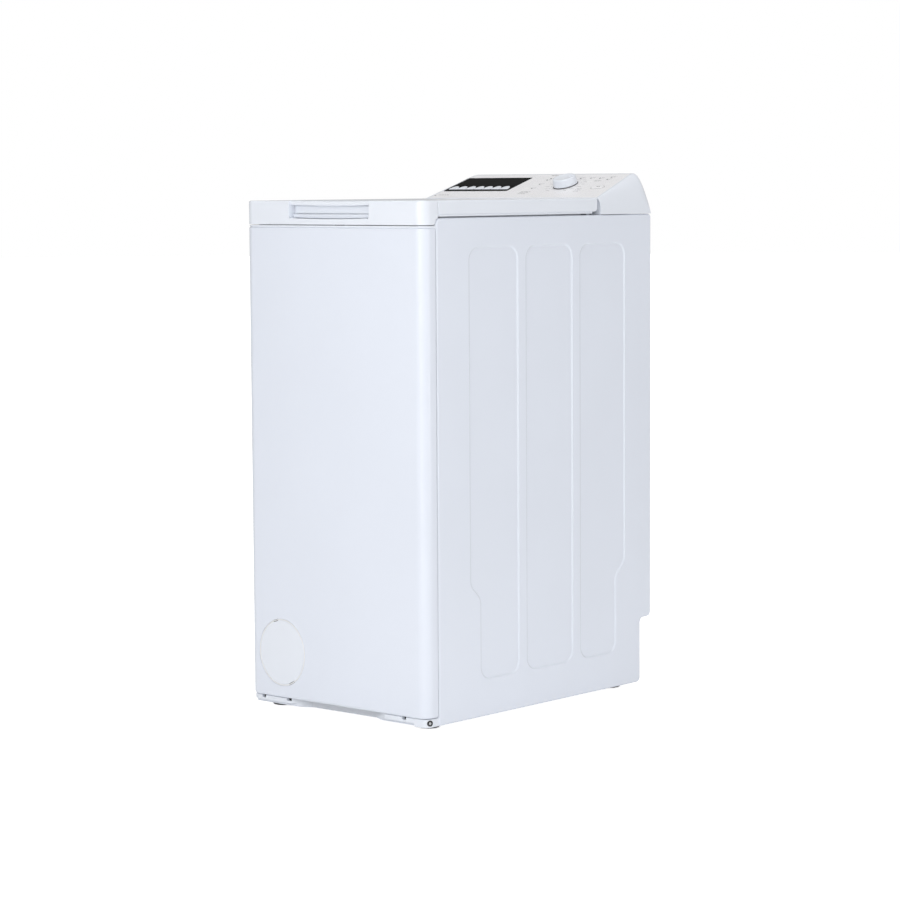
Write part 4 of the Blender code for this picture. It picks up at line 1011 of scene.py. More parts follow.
def ring_outline(x, s, size, grow, width):
    """A stadium ring, cut open at one point so that it stays a single outline."""
    outer = stadium(x, s, size, grow + width)
    inner = stadium(x, s, size, grow)
    return outer + [outer[0]] + [inner[0]] + inner[:0:-1]


def drop_icon(x, s, size):
    """A small programme symbol: a dot with a short raised tail."""
    dot = circle((x, s), size, 14)
    tail = ((1.3, 0.6), (4.6, 1.5), (4.6, 1.8), (1.3, 1.1))
    return [dot, [(x + size * along, s + size * up) for along, up in tail]]


def text_bars(x, s, lengths, pitch, height=0.0009):
    """Lines of tiny print, shown as rows of short bars."""
    bars = []
    for row, words in enumerate(lengths):
        start = x
        for word in words:
            low = s - row * pitch
            bars.append(rectangle((start, low), (start + word, low + height), 0.0003, 0.0, 2))
            start += word + 0.0012
    return bars


def console_print():
    """The fascia's printed icons, lamps, programme scale and lines of small print."""
    icons = [(0.013, 0.072), (0.011, 0.051), (0.016, 0.1020), (0.013, 0.094), (0.083, 0.1025),
             (0.105, 0.1030), (0.126, 0.1020), (0.147, 0.0955), (0.148, 0.107)]
    marks = []
    for x, s in icons:
        marks += drop_icon(x, s, 0.0018)
    print_on("fascia_icons", marks, "cabinet", INK)
    pills = ((0.004, 0.072), (0.000, 0.051), (0.165, 0.073), (0.117, 0.084))
    pills = [stadium(x, s, (0.0125, 0.0052)) for x, s in pills]
    print_on("fascia_pills", pills, "cabinet", WHITE_PRINT_AND_HIGHLIGHT, slot_name="white_plastic")
    scale = []
    for k in range(14):
        angle = radians(-60 + k * 300 / 13)
        arm = Vector((cos(angle), sin(angle)))
        across = Vector((-arm.y, arm.x)) * 0.00035
        near, far = 0.0268, 0.0286 if k % 2 else 0.0300
        centre = Vector((KNOB_X, KNOB_S))
        scale.append([tuple(centre + arm * near - across), tuple(centre + arm * far - across),
                      tuple(centre + arm * far + across), tuple(centre + arm * near + across)])
        start = centre + arm * 0.0320
        if 0.010 < start.y < 0.115:
            lean = 1 if arm.x >= 0 else -1
            low, high = sorted((start.x, start.x + lean * (0.006 + 0.0015 * (k % 3))))
            scale.append(rectangle((low, start.y - 0.0004), (high, start.y + 0.0004), 0.0003, 0.0, 2))
    print_on("fascia_programme_scale", scale, "cabinet", PALE_INK)
    words = ((0.006, 0.009, 0.004), (0.008, 0.003, 0.007), (0.005, 0.010))
    lines = text_bars(0.0000, 0.0330, words, 0.0048, 0.0013)
    lines += text_bars(0.1150, 0.0470, ((0.006, 0.004), (0.004, 0.007), (0.005, 0.006)), 0.0060, 0.0012)
    lines += text_bars(0.1230, 0.0900, ((0.005, 0.008), (0.007, 0.004)), 0.0036)
    lines += text_bars(DISPLAY_LEFT + 0.004, 0.0170, ((0.004, 0.007, 0.003, 0.006),), 0.004, 0.0016)
    lines += [circle((DISPLAY_LEFT - 0.003, 0.0150), 0.0019, 14)]
    lines += text_bars(0.0060, 0.1160, ((0.006, 0.005, 0.007, 0.004, 0.006),), 0.004, 0.0024)
    for x in BUTTON_XS:
        lines += text_bars(x - 0.0050, 0.0335, ((0.0045, 0.0045),), 0.004, 0.0007)
    print_on("fascia_small_print", lines, "cabinet", PALE_INK)
    ring = ring_outline(START_X, START_S, START_SIZE, 0.0012, 0.0006)
    print_on("start_key_ring", [ring], "cabinet", PALE_INK)


def knob_skin():
    """The programme knob: a tapered body with a pointer on a slightly dished top, and a painted shadow ring
    under it.
    """
    radius = (knob_high.x - knob_low.x) / 2
    top = KNOB_TOP
    profile = [(-0.0088, 0.0), (-0.0088, 0.0038), (0.0012, 0.0038), (0.0012, radius - 0.0012),
               (0.0014, radius - 0.0003), (0.0020, radius), (0.0050, radius - 0.0003),
               (top - 0.0026, radius - 0.0012),
               (top - 0.0012, radius - 0.0016), (top - 0.0004, radius - 0.0025), (top, radius - 0.0038),
               (top - 0.0003, radius - 0.0062), (top - 0.0010, radius * 0.55), (top - 0.0013, radius * 0.25),
               (top - 0.0014, 0.0)]
    body = on_face(lathe("z", (KNOB_X, KNOB_S), profile, 128, join_ends=False))
    flat_shading(piece("program_knob_body", body, "knob", "white_plastic", ["program_knob"], 40))
    # A thin black ring under the knob's edge: painted contact shadow.
    outer, inner = radius + 0.0005, radius - 0.0046
    shadow_ring = [(0.0003, outer), (0.0003, inner), (0.0012, inner), (0.0012, outer)]
    piece("program_knob_painted_shadow", on_face(lathe("z", (KNOB_X, KNOB_S), shadow_ring, 96)), "knob", "black_plastic")
    line = rectangle((-0.0009, 0.0100), (0.0009, radius - 0.0022), 0.0008)
    line = prism("z", line, top - 0.0012, top + 0.0006)
    turn = Matrix.Translation((KNOB_X, KNOB_S, 0)) @ Matrix.Rotation(radians(-62), 4, "Z")
    bevel(piece("program_knob_pointer", on_face(moved(line, turn)), "knob", "white_plastic"), 0.0003, 2)


def base_skin():
    """The base: white corner brackets in front, a set-back middle, and feet under it."""
    low, high = base_low.z, base_high.z
    front = base_low.y
    bays = [(-0.1982, front, 0.012), (-0.1160, front, 0.003), (-0.0760, front + 0.020, 0.006),
            (0.0660, front + 0.020, 0.006), (0.1060, front, 0.003), (0.1982, front, 0.012),
            (0.1982, base_high.y, 0.004), (-0.1982, base_high.y, 0.004)]
    levels = [(low, 0.0022), (low + 0.0008, 0.0006), (low + 0.0022, 0.0), (high - 0.0008, 0.0),
              (high, 0.0008)]
    shape = solid_of([[at("z", x, y, z) for x, y in rounded(bays, inset, 6)] for z, inset in levels])
    made = piece("base_moulding", shape, "cabinet", "white_plastic", ["base_frame"], 40)
    boolean(made, block((-0.21, front - 0.01, low - 0.01), (0.170, -0.286, 0.0125)))
    for x in BASE_SLOT_XS:
        slot = rectangle((x - 0.0042, high - 0.0045), (x + 0.0042, high + 0.002), 0.0012)
        boolean(made, prism("y", slot, front - 0.01, front + 0.010))
    for x in (-FOOT_X, FOOT_X):
        for y in FOOT_YS.values():
            boolean(made, cylinder("z", (x, y), 0.0056, low - 0.01, high + 0.01, 24))
    pockets = []
    for row in range(5):
        for column in range(4):
            x, y = -0.135 + column * 0.090, -0.205 + row * 0.095
            pocket = rectangle((x - 0.034, y - 0.036), (x + 0.034, y + 0.036), 0.006)
            pockets.append(prism("z", pocket, low - 0.01, low + 0.0070))
    boolean(made, merged(*pockets))
    flat_shading(bevel(made, 0.0005, 2, 50))
    # Black blocks just behind the base's front slots: painted shade inside the openings.
    slots = [block((x - 0.0050, front + 0.0060, high - 0.0060), (x + 0.0050, front + 0.0080, high - 0.0006))
             for x in BASE_SLOT_XS]
    piece("base_slot_painted_shade", merged(*slots), "cabinet", "black_plastic")
    turn = Matrix.Translation((0.1862, -0.2842, high - 0.0062)) @ Matrix.Rotation(radians(72), 4, "Z")
    cup = [(-0.0100, 0.0), (-0.0122, 0.0), (-0.0124, 0.0050), (-0.0100, 0.0052)]
    cup = lathe("y", (0, 0), cup, 32, join_ends=False)
    piece("base_transit_socket", moved(cup, turn), "cabinet", "black_plastic")
    screw = screw_head("y", (0, 0), -0.0121, -0.0130, 0.0022)
    piece("base_transit_screw", moved(screw, turn), "cabinet", "stainless_steel")


def foot_skin(place, stand, x, y):
    """A levelling foot: a ribbed pad and a threaded stud."""
    ribs = []
    for step in range(1, 4):
        ribs += beyond(step * 0.0012, [(0.0006, 0.0188), (0.0010, 0.0182), (0.0014, 0.0188)])
    pad = [(0.0, 0.0), (0.0, 0.0150), (0.0004, 0.0166), (0.0010, 0.0180), *ribs, (0.0058, 0.0186),
           (0.0060, 0.0180), (0.0060, 0.0062), (0.0060, 0.0)]
    thread = [(0.0055, 0.0)]
    for turn in range(19):
        thread += beyond(0.0060 + turn * 0.0015, [(0.0, 0.0042), (0.00075, 0.0049)])
    thread += [(0.0352, 0.0040), (0.0358, 0.0)]
    name, body = f"foot_{place}_{stand}", f"{place}_{stand}_foot"
    pad = lathe("z", (x, y), pad, 48, join_ends=False)
    piece(f"{name}_pad", pad, body, "black_plastic", [name], 30)
    stud = lathe("z", (x, y), thread, 24, join_ends=False)
    piece(f"{name}_stud", stud, body, "galvanised_steel", [name], 20)


# ---------------------------------------------------------------- back
def rear_skin():
    """The zinc-coated back: stiffening beads, the drum access panel, screws and vents of painted shade."""
    low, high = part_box("rear_panel")
    face, depth = high.y, 0.0022
    step = NOTCH_Z + 0.004
    border = [(low.x, step, 0.004), (high.x, step, 0.004), (high.x, high.z, 0.004), (low.x, high.z, 0.004)]
    beads = [(x, 0.042, 0.175, 0.355, 0.012) for x in (-0.122, 0.0, 0.122)]
    beads.append((0.0, 0.164, 0.395, 0.735, 0.014))
    beads = [[(x - half, bottom, radius), (x + half, bottom, radius), (x + half, top, radius),
              (x - half, top, radius)] for x, half, bottom, top, radius in beads]
    levels = [(face - 0.0060, 0.0), *fillet(face - 0.0015, face, 0.0, 0.0015, 3)]
    shape = pressed_sheet("y", border, levels, beads, face, -1, depth, 0.0060)
    orient(shape, Vector((0, 1, 0)))
    made = piece("rear_panel_skin", shape, "cabinet", "galvanised_steel", ["rear_panel"], 60)
    thicken(made, 0.0009)
    flat_shading(made)
    outline = [(face - 0.0002, step), (RECESS_FACE, step), (RECESS_FACE, low.z),
               (RECESS_FACE - 0.0010, low.z), (RECESS_FACE - 0.0010, step + 0.0010),
               (face - 0.0002, step + 0.0010)]
    tray_back = piece("rear_panel_recess", prism("x", outline, low.x, high.x), "cabinet", "galvanised_steel",
                      ["rear_panel"])
    for x, radius in ((INLET_X, 0.0145), (DRAIN_X, 0.0145), (0.0, 0.0105)):
        boolean(tray_back, cylinder("y", (x, FITTING_Z), radius, 0.255, 0.285, 48))
    bevel(tray_back, 0.0006, 3, 40)
    screws = []
    for z in (0.150, 0.370, 0.560, 0.790):
        for x in (-0.178, 0.178):
            screws.append(screw_head("y", (x, z), face - 0.0002, face + 0.0018, 0.0042))
    for x in (-0.060, 0.060):
        screws.append(screw_head("y", (x, 0.812), face - 0.0002, face + 0.0018, 0.0042))
    piece("rear_panel_screws", merged(*screws), "cabinet", "stainless_steel")
    # The vents are not cut: black films on the sheet are painted shade where the openings would be dark.
    slots = []
    for row in range(7):
        for column in (-1, 1):
            x, z = column * 0.058, row * 0.010
            slot = rectangle((x - 0.040, 0.640 + z), (x + 0.040, 0.6440 + z), 0.0019)
            slots.append(prism("y", slot, face - depth - 0.00015, face - depth + 0.0002))
    piece("rear_panel_vent_painted_shade", merged(*slots), "cabinet", "black_plastic")
    plate = rectangle((-0.050, 0.440), (0.050, 0.500), 0.002)
    plate = prism("y", plate, face - depth - 0.0001, face - depth + 0.0002)
    piece("rating_plate", plate, "cabinet", "white_plastic")
    rows = []
    for row in range(6):
        for column in range(3 + row % 2):
            x, z = -0.044 + column * 0.022, row * 0.0085
            bar = rectangle((x, 0.447 + z), (x + 0.014 + 0.003 * (row % 3), 0.4495 + z), 0.0004)
            rows.append(prism("y", bar, face - depth + 0.0001, face - depth + 0.0003))
    piece("rating_plate_print", merged(*rows), "cabinet", "white_plastic", look=INK)


def fittings():
    """The threaded water inlet with its strainer, the ribbed drain spigot and the cable's gland."""
    back = RECESS_FACE
    thread = []
    for turn in range(9):
        thread += beyond(0.0050 + turn * 0.0018, [(0.0, 0.0122), (0.0009, 0.0130)])
    inlet = [(-0.050, 0.0), (-0.050, 0.0185), (-0.0480, 0.0200), (-0.0020, 0.0200), (-0.0020, 0.0130),
             (0.0040, 0.0130), *thread, (0.0220, 0.0122), (0.0220, 0.0092), (0.0060, 0.0092), (0.0060, 0.0)]
    shape = lathe("y", (INLET_X, FITTING_Z), beyond(back, inlet), 48, join_ends=False)
    piece("inlet_valve_body", shape, "cabinet", "grey_plastic", ["inlet_valve"], 30)
    mesh = [prism("y", circle((INLET_X, FITTING_Z), 0.0088, 32), back + 0.0061, back + 0.0066)]
    near, far, thin = back + 0.0066, back + 0.0074, 0.0003
    for k in range(-3, 4):
        reach = sqrt(0.0086 ** 2 - (k * 0.0022) ** 2)
        x, z = INLET_X + k * 0.0022, FITTING_Z + k * 0.0022
        mesh.append(block((INLET_X - reach, near, z - thin), (INLET_X + reach, far, z + thin)))
        mesh.append(block((x - thin, near, FITTING_Z - reach), (x + thin, far, FITTING_Z + reach)))
    piece("inlet_strainer", merged(*mesh), "cabinet", "black_plastic")
    ribs = []
    for turn in range(4):
        ribs += beyond(0.0060 + turn * 0.0042, [(0.0, 0.0118), (0.0030, 0.0130), (0.0034, 0.0118)])
    drain = [(-0.030, 0.0085), (-0.030, 0.0180), (-0.0020, 0.0180), (-0.0020, 0.0130), (0.0040, 0.0130),
             *ribs, (0.0240, 0.0112), (0.0240, 0.0087)]
    shape = lathe("y", (DRAIN_X, FITTING_Z), beyond(back, drain), 48)
    piece("drain_outlet_spigot", shape, "cabinet", "grey_plastic", ["drain_outlet"], 30)
    gland = [(-0.012, 0.0040), (-0.012, 0.0140), (-0.0020, 0.0140), (-0.0020, 0.0095), (0.0012, 0.0095),
             (0.0020, 0.0090), (0.0050, 0.0082), (0.0060, 0.0070), (0.0060, 0.0045), (0.0040, 0.0040)]
    shape = lathe("y", (0.0, FITTING_Z), beyond(back, gland), 40)
    piece("cable_gland_bush", shape, "cabinet", "black_plastic", ["cable_gland"], 30)


# ---------------------------------------------------------------- tub, drum and drive
def neck_outline(grow):
    """The loading neck's opening, grown outwards."""
    x, y = 0.115 + grow, 0.112 + grow
    return rectangle((-x, AXIS[0] - y), (x, AXIS[0] + y), 0.018 + grow)


def hoop(grow, z, radius, sides=10):
    """A round bar bent round the loading neck."""
    angles = [2 * pi * k / sides for k in range(sides)]
    rings = [[Vector((x, y, z + radius * sin(a))) for x, y in neck_outline(grow + radius * cos(a))]
             for a in angles]
    return solid_of(rings, join_ends=True)


def funnel_and_bellows():
    """The funnel's curved walls, the folded rubber seal and the wire hoops that hold it."""
    mouth, neck = rectangle((-0.146, -0.252), (0.146, 0.112), 0.030), neck_outline(0.0035)
    wide = rectangle((-0.1490, -0.255), (0.1490, 0.115), 0.030)
    top = 0.8100
    rings = [[Vector((x, y, top - 0.0030)) for x, y in wide], [Vector((x, y, top - 0.0008)) for x, y in wide]]
    for step in range(13):
        share = step / 12
        blend = share * share * (3 - 2 * share)
        z = top + (FUNNEL_LOW + 0.0004 - top) * share
        rings.append([Vector((a + (c - a) * blend, b + (d - b) * blend, z))
                      for (a, b), (c, d) in zip(mouth, neck)])
    shape, _ = sheet_of(rings)
    orient(shape, Vector((0, 0, 1)))
    thicken(piece("loading_funnel_wall", shape, "cabinet", "white_plastic", ["loading_funnel"], 50), 0.0016)
    low, high = NECK_HIGH + 0.0008, FUNNEL_LOW - 0.0008
    rings = []
    for step in range(33):
        swell = 0.0022 * (1 - cos(4 * pi * step / 32))
        z = low + (high - low) * step / 32
        rings.append([Vector((x, y, z)) for x, y in neck_outline(0.0036 + swell)])
    shape, _ = sheet_of(rings)
    orient(shape, Vector((0, 0, 1)))
    thicken(piece("bellows_folds", shape, "tub", "rubber_seal", ["bellows"], 180), 0.0016, 0.0)
    for number, z in enumerate((low + 0.0022, high - 0.0022), start=1):
        piece(f"bellows_hoop_{number}", hoop(0.0062, z, 0.0010), "tub", "stainless_steel", smooth=180)


def tub_skin(side):
    """Half of the tub: flanged and ribbed wall, hub, loading neck, end ribs and spring lug."""
    name = "tub_right" if side > 0 else "tub_left"
    wall = [(0.0002, TUB_INNER), (0.0002, TUB_FLANGE - 0.0008), (0.0010, TUB_FLANGE), (0.0074, TUB_FLANGE),
            (0.0082, TUB_FLANGE - 0.0008), (0.0086, TUB_OUTER)]
    for x in (0.036, 0.066, 0.096):
        wall += [(x, TUB_OUTER), (x + 0.0004, TUB_FLANGE - 0.0012), (x + 0.0022, TUB_FLANGE - 0.0012),
                 (x + 0.0026, TUB_OUTER)]
    wall += [(TUB_END - 0.0060, TUB_OUTER), (TUB_END - 0.0018, TUB_OUTER - 0.0018),
             (TUB_END, TUB_OUTER - 0.0060), (TUB_END, 0.0340), (HUB_END - 0.0010, 0.0325), (HUB_END, 0.0315),
             (HUB_END, HUB_BORE), (TUB_END - 0.0040, HUB_BORE), (TUB_END - 0.0040, TUB_INNER - 0.0050),
             (TUB_END - 0.0090, TUB_INNER)]
    made = piece(f"{name}_wall", lathe("x", AXIS, facing(side, wall), 96), "tub", "grey_plastic", [name], 30)
    boolean(made, prism("z", neck_outline(0.0), 0.60, 0.72))
    neck = prism("z", neck_outline(0.0040), 0.62, NECK_HIGH)
    neck = piece(f"{name}_neck", neck, "tub", "grey_plastic", [name], 30)
    boolean(neck, prism("z", neck_outline(0.0), 0.60, 0.72))
    low, high = sorted((side * 0.0002, side * -0.3))
    boolean(neck, block((low, -0.4, 0.60), (high, 0.4, 0.72)))
    boolean(neck, cylinder("x", AXIS, TUB_OUTER - 0.0010, -0.2, 0.2, 96))
    bevel(neck, 0.0005, 2, 50)
    low, high = sorted((side * (TUB_END - 0.001), side * (TUB_END + 0.0055)))
    ribs = [about_drum(block((low, 0.0330, -0.0013), (high, 0.2380, 0.0013)), k * 22.5) for k in range(16)]
    low, high = sorted((side * (TUB_END - 0.002), side * (TUB_END + 0.0040)))
    ribs.append(lathe("x", AXIS, [(low, 0.1300), (high, 0.1300), (high, 0.1330), (low, 0.1330)], 96))
    bevel(piece(f"{name}_ribs", merged(*ribs), "tub", "grey_plastic"), 0.0004, 2, 50)
    low, high = sorted((side * (TUB_END - 0.002), side * 0.1820))
    lug = block((low, AXIS[0] - 0.012, 0.5860), (high, AXIS[0] + 0.012, 0.5985))
    bevel(piece(f"{name}_spring_lug", lug, "tub", "grey_plastic"), 0.0015, 3)


def tub_screws():
    """The screws round the tub's flange, except where the loading neck is."""
    places = [(y, z) for y, z in arc(AXIS, 0.2488, 10, 350, 17) if z < 0.62]
    heads = [screw_head("x", place, 0.0080, 0.0110, 0.0030) for place in places]
    piece("tub_flange_screws", merged(*heads), "tub", "stainless_steel")


def perforated(columns, angles, radius, plain_columns, open_rows, hole):
    """A rolled sheet about the drum's axis with one round hole per cell.

    Plain columns and the rows at both ends have no holes. Open rows are left out between them.
    """
    shape = bmesh.new()

    def corner(x, angle):
        return shape.verts.new((x, AXIS[0] + radius * sin(angle), AXIS[1] + radius * cos(angle)))

    for column, (x, next_x) in enumerate(zip(columns, columns[1:])):
        for row, (a, next_a) in enumerate(zip(angles, angles[1:])):
            if column in plain_columns or row not in open_rows:
                middle_x, middle_a = (x + next_x) / 2, (a + next_a) / 2
                rim = ((next_x, middle_a), (next_x, next_a), (middle_x, next_a), (x, next_a),
                       (x, middle_a), (x, a), (middle_x, a), (next_x, a))
                rim = [corner(*place) for place in rim]
                if column in plain_columns or row in (0, len(angles) - 2):
                    shape.faces.new(rim)
                    continue
                inner = [corner(middle_x + hole * cos(pi * k / 4), middle_a + hole * sin(pi * k / 4) / radius)
                         for k in range(8)]
                for k in range(8):
                    nxt = (k + 1) % 8
                    shape.faces.new((rim[k], rim[nxt], inner[nxt], inner[k]))
    bmesh.ops.remove_doubles(shape, verts=shape.verts, dist=0.00002)
    bmesh.ops.recalc_face_normals(shape, faces=shape.faces)
    return shape


def drum_skin():
    """The drum: a perforated wall, pressed ends and three hollow lifters."""
    mouth = 26.0
    columns = [-0.1240] + [-0.105 + 0.021 * k for k in range(11)] + [0.1240]
    angles = [radians(mouth + (360 - 2 * mouth) * k / 56) for k in range(57)]
    angles += [radians(360 - mouth + 2 * mouth * k / 10) for k in range(1, 11)]
    wall = perforated(columns, angles, DRUM_RADIUS - 0.0004, (0, 11), range(56, 66), 0.0026)
    thicken(piece("drum_wall", wall, "drum", "stainless_steel", ["drum_shell"], 50), 0.0008)
    for side, label in ((-1, "left"), (1, "right")):
        end = [(DRUM_HALF - 0.0012, DRUM_RADIUS), (DRUM_HALF - 0.0004, DRUM_RADIUS - 0.0003),
               (DRUM_HALF, DRUM_RADIUS - 0.0012), (DRUM_HALF, 0.2060), (DRUM_HALF - 0.0012, 0.2010),
               (DRUM_HALF - 0.0040, 0.1960), (DRUM_HALF - 0.0044, 0.1900), (DRUM_HALF - 0.0044, 0.1150),
               (DRUM_HALF - 0.0038, 0.1090), (DRUM_HALF - 0.0010, 0.1040), (DRUM_HALF, 0.0990),
               (DRUM_HALF, 0.0)]
        back = [(x - 0.0010, max(r - 0.0008, 0.0)) for x, r in end[::-1]]
        shape = lathe("x", AXIS, facing(side, end + back), 96, join_ends=False)
        piece(f"drum_end_{label}", shape, "drum", "stainless_steel", ["drum_shell"], 40)
    levels = ((0.2236, 0.0300, 0.112), (0.2190, 0.0235, 0.110), (0.2100, 0.0165, 0.107),
              (0.1960, 0.0115, 0.103), (0.1820, 0.0086, 0.099), (0.1775, 0.0066, 0.097),
              (0.1757, 0.0036, 0.093))
    rings = [[at("y", x, z, y) for x, z in rectangle((-long, -half), (long, half), half * 0.9)]
             for y, half, long in levels]
    for angle in (0, 180, 270):
        shape = about_drum(solid_of(rings), angle)
        piece(f"drum_lifter_{angle}", shape, "drum", "stainless_steel", smooth=60)


def flap_skins():
    """The two curved doors in the drum's wall, with their hinge knuckles and the catch."""
    columns = [-0.1035 + 0.0207 * k for k in range(11)]
    for name, sign, body in (("drum_flap_front", -1, "flap_front"), ("drum_flap_rear", 1, "flap_rear")):
        angles = sorted(radians(sign * (0.6 + 24.4 * k / 6)) for k in range(7))
        sheet = perforated(columns, angles, DRUM_RADIUS - 0.0008, (0, 9), (), 0.0026)
        orient(sheet, Vector((0, 0, 1)))
        made = piece(f"{name}_sheet", sheet, body, "stainless_steel", [name], 50)
        thicken(made, 0.0012)
        barrel = (AXIS[0] + sign * 0.0950, AXIS[1] + sqrt(0.2215 ** 2 - 0.0950 ** 2))
        starts = [0.0420 * k for k in range(5)]
        knuckles = [cylinder("x", barrel, 0.0028, -0.1030 + start, -0.0650 + start, 20) for start in starts]
        knuckles.append(cylinder("x", barrel, 0.0016, -0.1030, 0.1030, 16))
        bevel(piece(f"{name}_knuckles", merged(*knuckles), body, "stainless_steel"), 0.0003, 2, 50)
    y, z = AXIS[0], AXIS[1] + DRUM_RADIUS - 0.0002
    plate = prism("z", rectangle((-0.030, y - 0.0300), (0.030, y - 0.0030), 0.004), z, z + 0.0014)
    ridge = prism("z", rectangle((-0.014, y - 0.0240), (0.014, y - 0.0160), 0.0030), z + 0.001, z + 0.0043)
    made = piece("flap_latch_slider", merged(plate, ridge), "flap_catch", "stainless_steel", ["flap_latch"])
    bevel(made, 0.0005, 3)


def shaft_skins():
    """The stub shafts with the three-armed spiders that carry the drum's ends, and their bearings."""
    for side, label, end in ((-1, "left", 0.1560), (1, "right", 0.1780)):
        hub = [(DRUM_HALF + 0.0004, 0.0), (DRUM_HALF + 0.0004, 0.0600), (DRUM_HALF + 0.0036, 0.0600),
               (DRUM_HALF + 0.0050, 0.0300), (DRUM_HALF + 0.0070, 0.0180), (DRUM_HALF + 0.0100, SHAFT_RADIUS),
               (end - 0.0010, SHAFT_RADIUS), (end, SHAFT_RADIUS - 0.0010), (end, 0.0)]
        parts = [lathe("x", AXIS, facing(side, hub), 64, join_ends=False)]
        arm = [(0.040, -0.026), (0.205, -0.012), (0.205, 0.012), (0.040, 0.026)]
        low, high = sorted((side * (DRUM_HALF + 0.0004), side * (DRUM_HALF + 0.0046)))
        parts += [about_drum(prism("x", arm, low, high), 120 * k + 30) for k in range(3)]
        name = f"drum_shaft_{label}"
        bevel(piece(f"{name}_spider", merged(*parts), "drum", "galvanised_steel", [name]), 0.0008, 2, 40)
        low, high = sorted((side * 0.1381, side * 0.1499))
        outer = lathe("x", AXIS, [(low, 0.0186), (low, 0.0216), (high, 0.0216), (high, 0.0186)], 64)
        inner = lathe("x", AXIS, [(low, 0.0128), (low, 0.0152), (high, 0.0152), (high, 0.0128)], 64)
        parts = [outer, inner]
        for y, z in arc(AXIS, 0.0169, 0, 320, 8):
            ball = bmesh.new()
            place = Matrix.Translation(((low + high) / 2, y, z))
            bmesh.ops.create_uvsphere(ball, u_segments=16, v_segments=10, radius=0.0030, matrix=place)
            parts.append(ball)
        piece(f"bearing_{label}_rings", merged(*parts), "tub", "stainless_steel", [f"bearing_{label}"], 40)


def belt_outline(offset):
    """The belt's run round both pulleys in (y, z)."""
    big, small = 0.1330 + offset, 0.0133 + offset
    span = Vector((MOTOR[0] - AXIS[0], MOTOR[1] - AXIS[1]))
    heading = atan2(span.y, span.x) * 180 / pi
    wrap = 90 - acos((big - small) / span.length) * 180 / pi
    return (arc(AXIS, big, heading + 90 - wrap, heading + 270 + wrap, 72)
            + arc(MOTOR, small, heading - 90 + wrap, heading + 90 - wrap, 20))


def drive_skins():
    """The ribbed belt, the spoked drum pulley, the motor and its pulley."""
    across = [(0.0039, 0.1610), (0.0039, 0.1710)]
    across += [(0.0009 + 0.0008 * (k % 2), 0.1710 - 0.0010 * k) for k in range(11)]
    rings = [[Vector((x, y, z)) for y, z in belt_outline(offset)] for offset, x in across]
    piece("drive_belt_ribbed", solid_of(rings, join_ends=True), "tub", "rubber_seal", ["drive_belt"], 40)
    rim = [(0.1590, 0.1250), (0.1590, 0.1330), (0.1600, 0.1335), (0.1608, 0.1330), (0.1722, 0.1330),
           (0.1730, 0.1325), (0.1730, 0.1250)]
    hub = [(0.1590, 0.0132), (0.1590, 0.0260), (0.1645, 0.0300), (0.1675, 0.0300), (0.1730, 0.0260),
           (0.1730, 0.0132)]
    parts = [lathe("x", AXIS, rim, 96), lathe("x", AXIS, hub, 64)]
    spoke = [(0.0240, -0.0150), (0.1270, -0.0105), (0.1270, 0.0105), (0.0240, 0.0150)]
    parts += [about_drum(prism("x", spoke, 0.1640, 0.1680), 60 * k) for k in range(6)]
    made = piece("drum_pulley_wheel", merged(*parts), "drum", "galvanised_steel", ["drum_pulley"])
    bevel(made, 0.0008, 3, 40)
    case = [(0.0150, 0.0), (0.0150, 0.0400), (0.0170, 0.0425), (0.0240, MOTOR_RADIUS - 0.0040),
            (0.0270, MOTOR_RADIUS)]
    for k in range(9):
        x = 0.0300 + 0.0100 * k
        case += [(x, MOTOR_RADIUS), (x + 0.0010, MOTOR_RADIUS - 0.0024), (x + 0.0050, MOTOR_RADIUS - 0.0024),
                 (x + 0.0060, MOTOR_RADIUS)]
    case += [(0.1240, MOTOR_RADIUS), (0.1280, MOTOR_RADIUS - 0.0030), (0.1350, 0.0425), (0.1370, 0.0400),
             (0.1400, 0.0210), (0.1450, 0.0195), (0.1450, 0.0)]
    parts = [lathe("x", MOTOR, case, 64, join_ends=False)]
    toward = (Vector(AXIS) - Vector(MOTOR)).normalized()
    wide = Vector((-toward.y, toward.x)) * 0.022
    start = Vector(MOTOR) + toward * (MOTOR_RADIUS - 0.012)
    end = Vector(AXIS) - toward * (TUB_FLANGE + 0.0008)
    foot = [tuple(start - wide), tuple(end - wide), tuple(end + wide), tuple(start + wide)]
    parts += [prism("x", foot, 0.030, 0.060), prism("x", foot, 0.095, 0.125)]
    bevel(piece("motor_case", merged(*parts), "tub", "galvanised_steel", ["motor"]), 0.0006, 2, 50)
    grooves = [(0.0520, 0.0), (0.0520, 0.0060), (0.1560, 0.0060), (0.1560, 0.0133), (0.1605, 0.0133)]
    for k in range(5):
        grooves += [(0.1610 + 0.0020 * k, 0.0133), (0.1620 + 0.0020 * k, 0.0125)]
    grooves += [(0.1712, 0.0133), (0.1745, 0.0133), (0.1745, 0.0)]
    piece("motor_pulley_grooved", lathe("x", MOTOR, grooves, 48, join_ends=False), "motor_rotor",
          "galvanised_steel", ["motor_pulley"], 30)


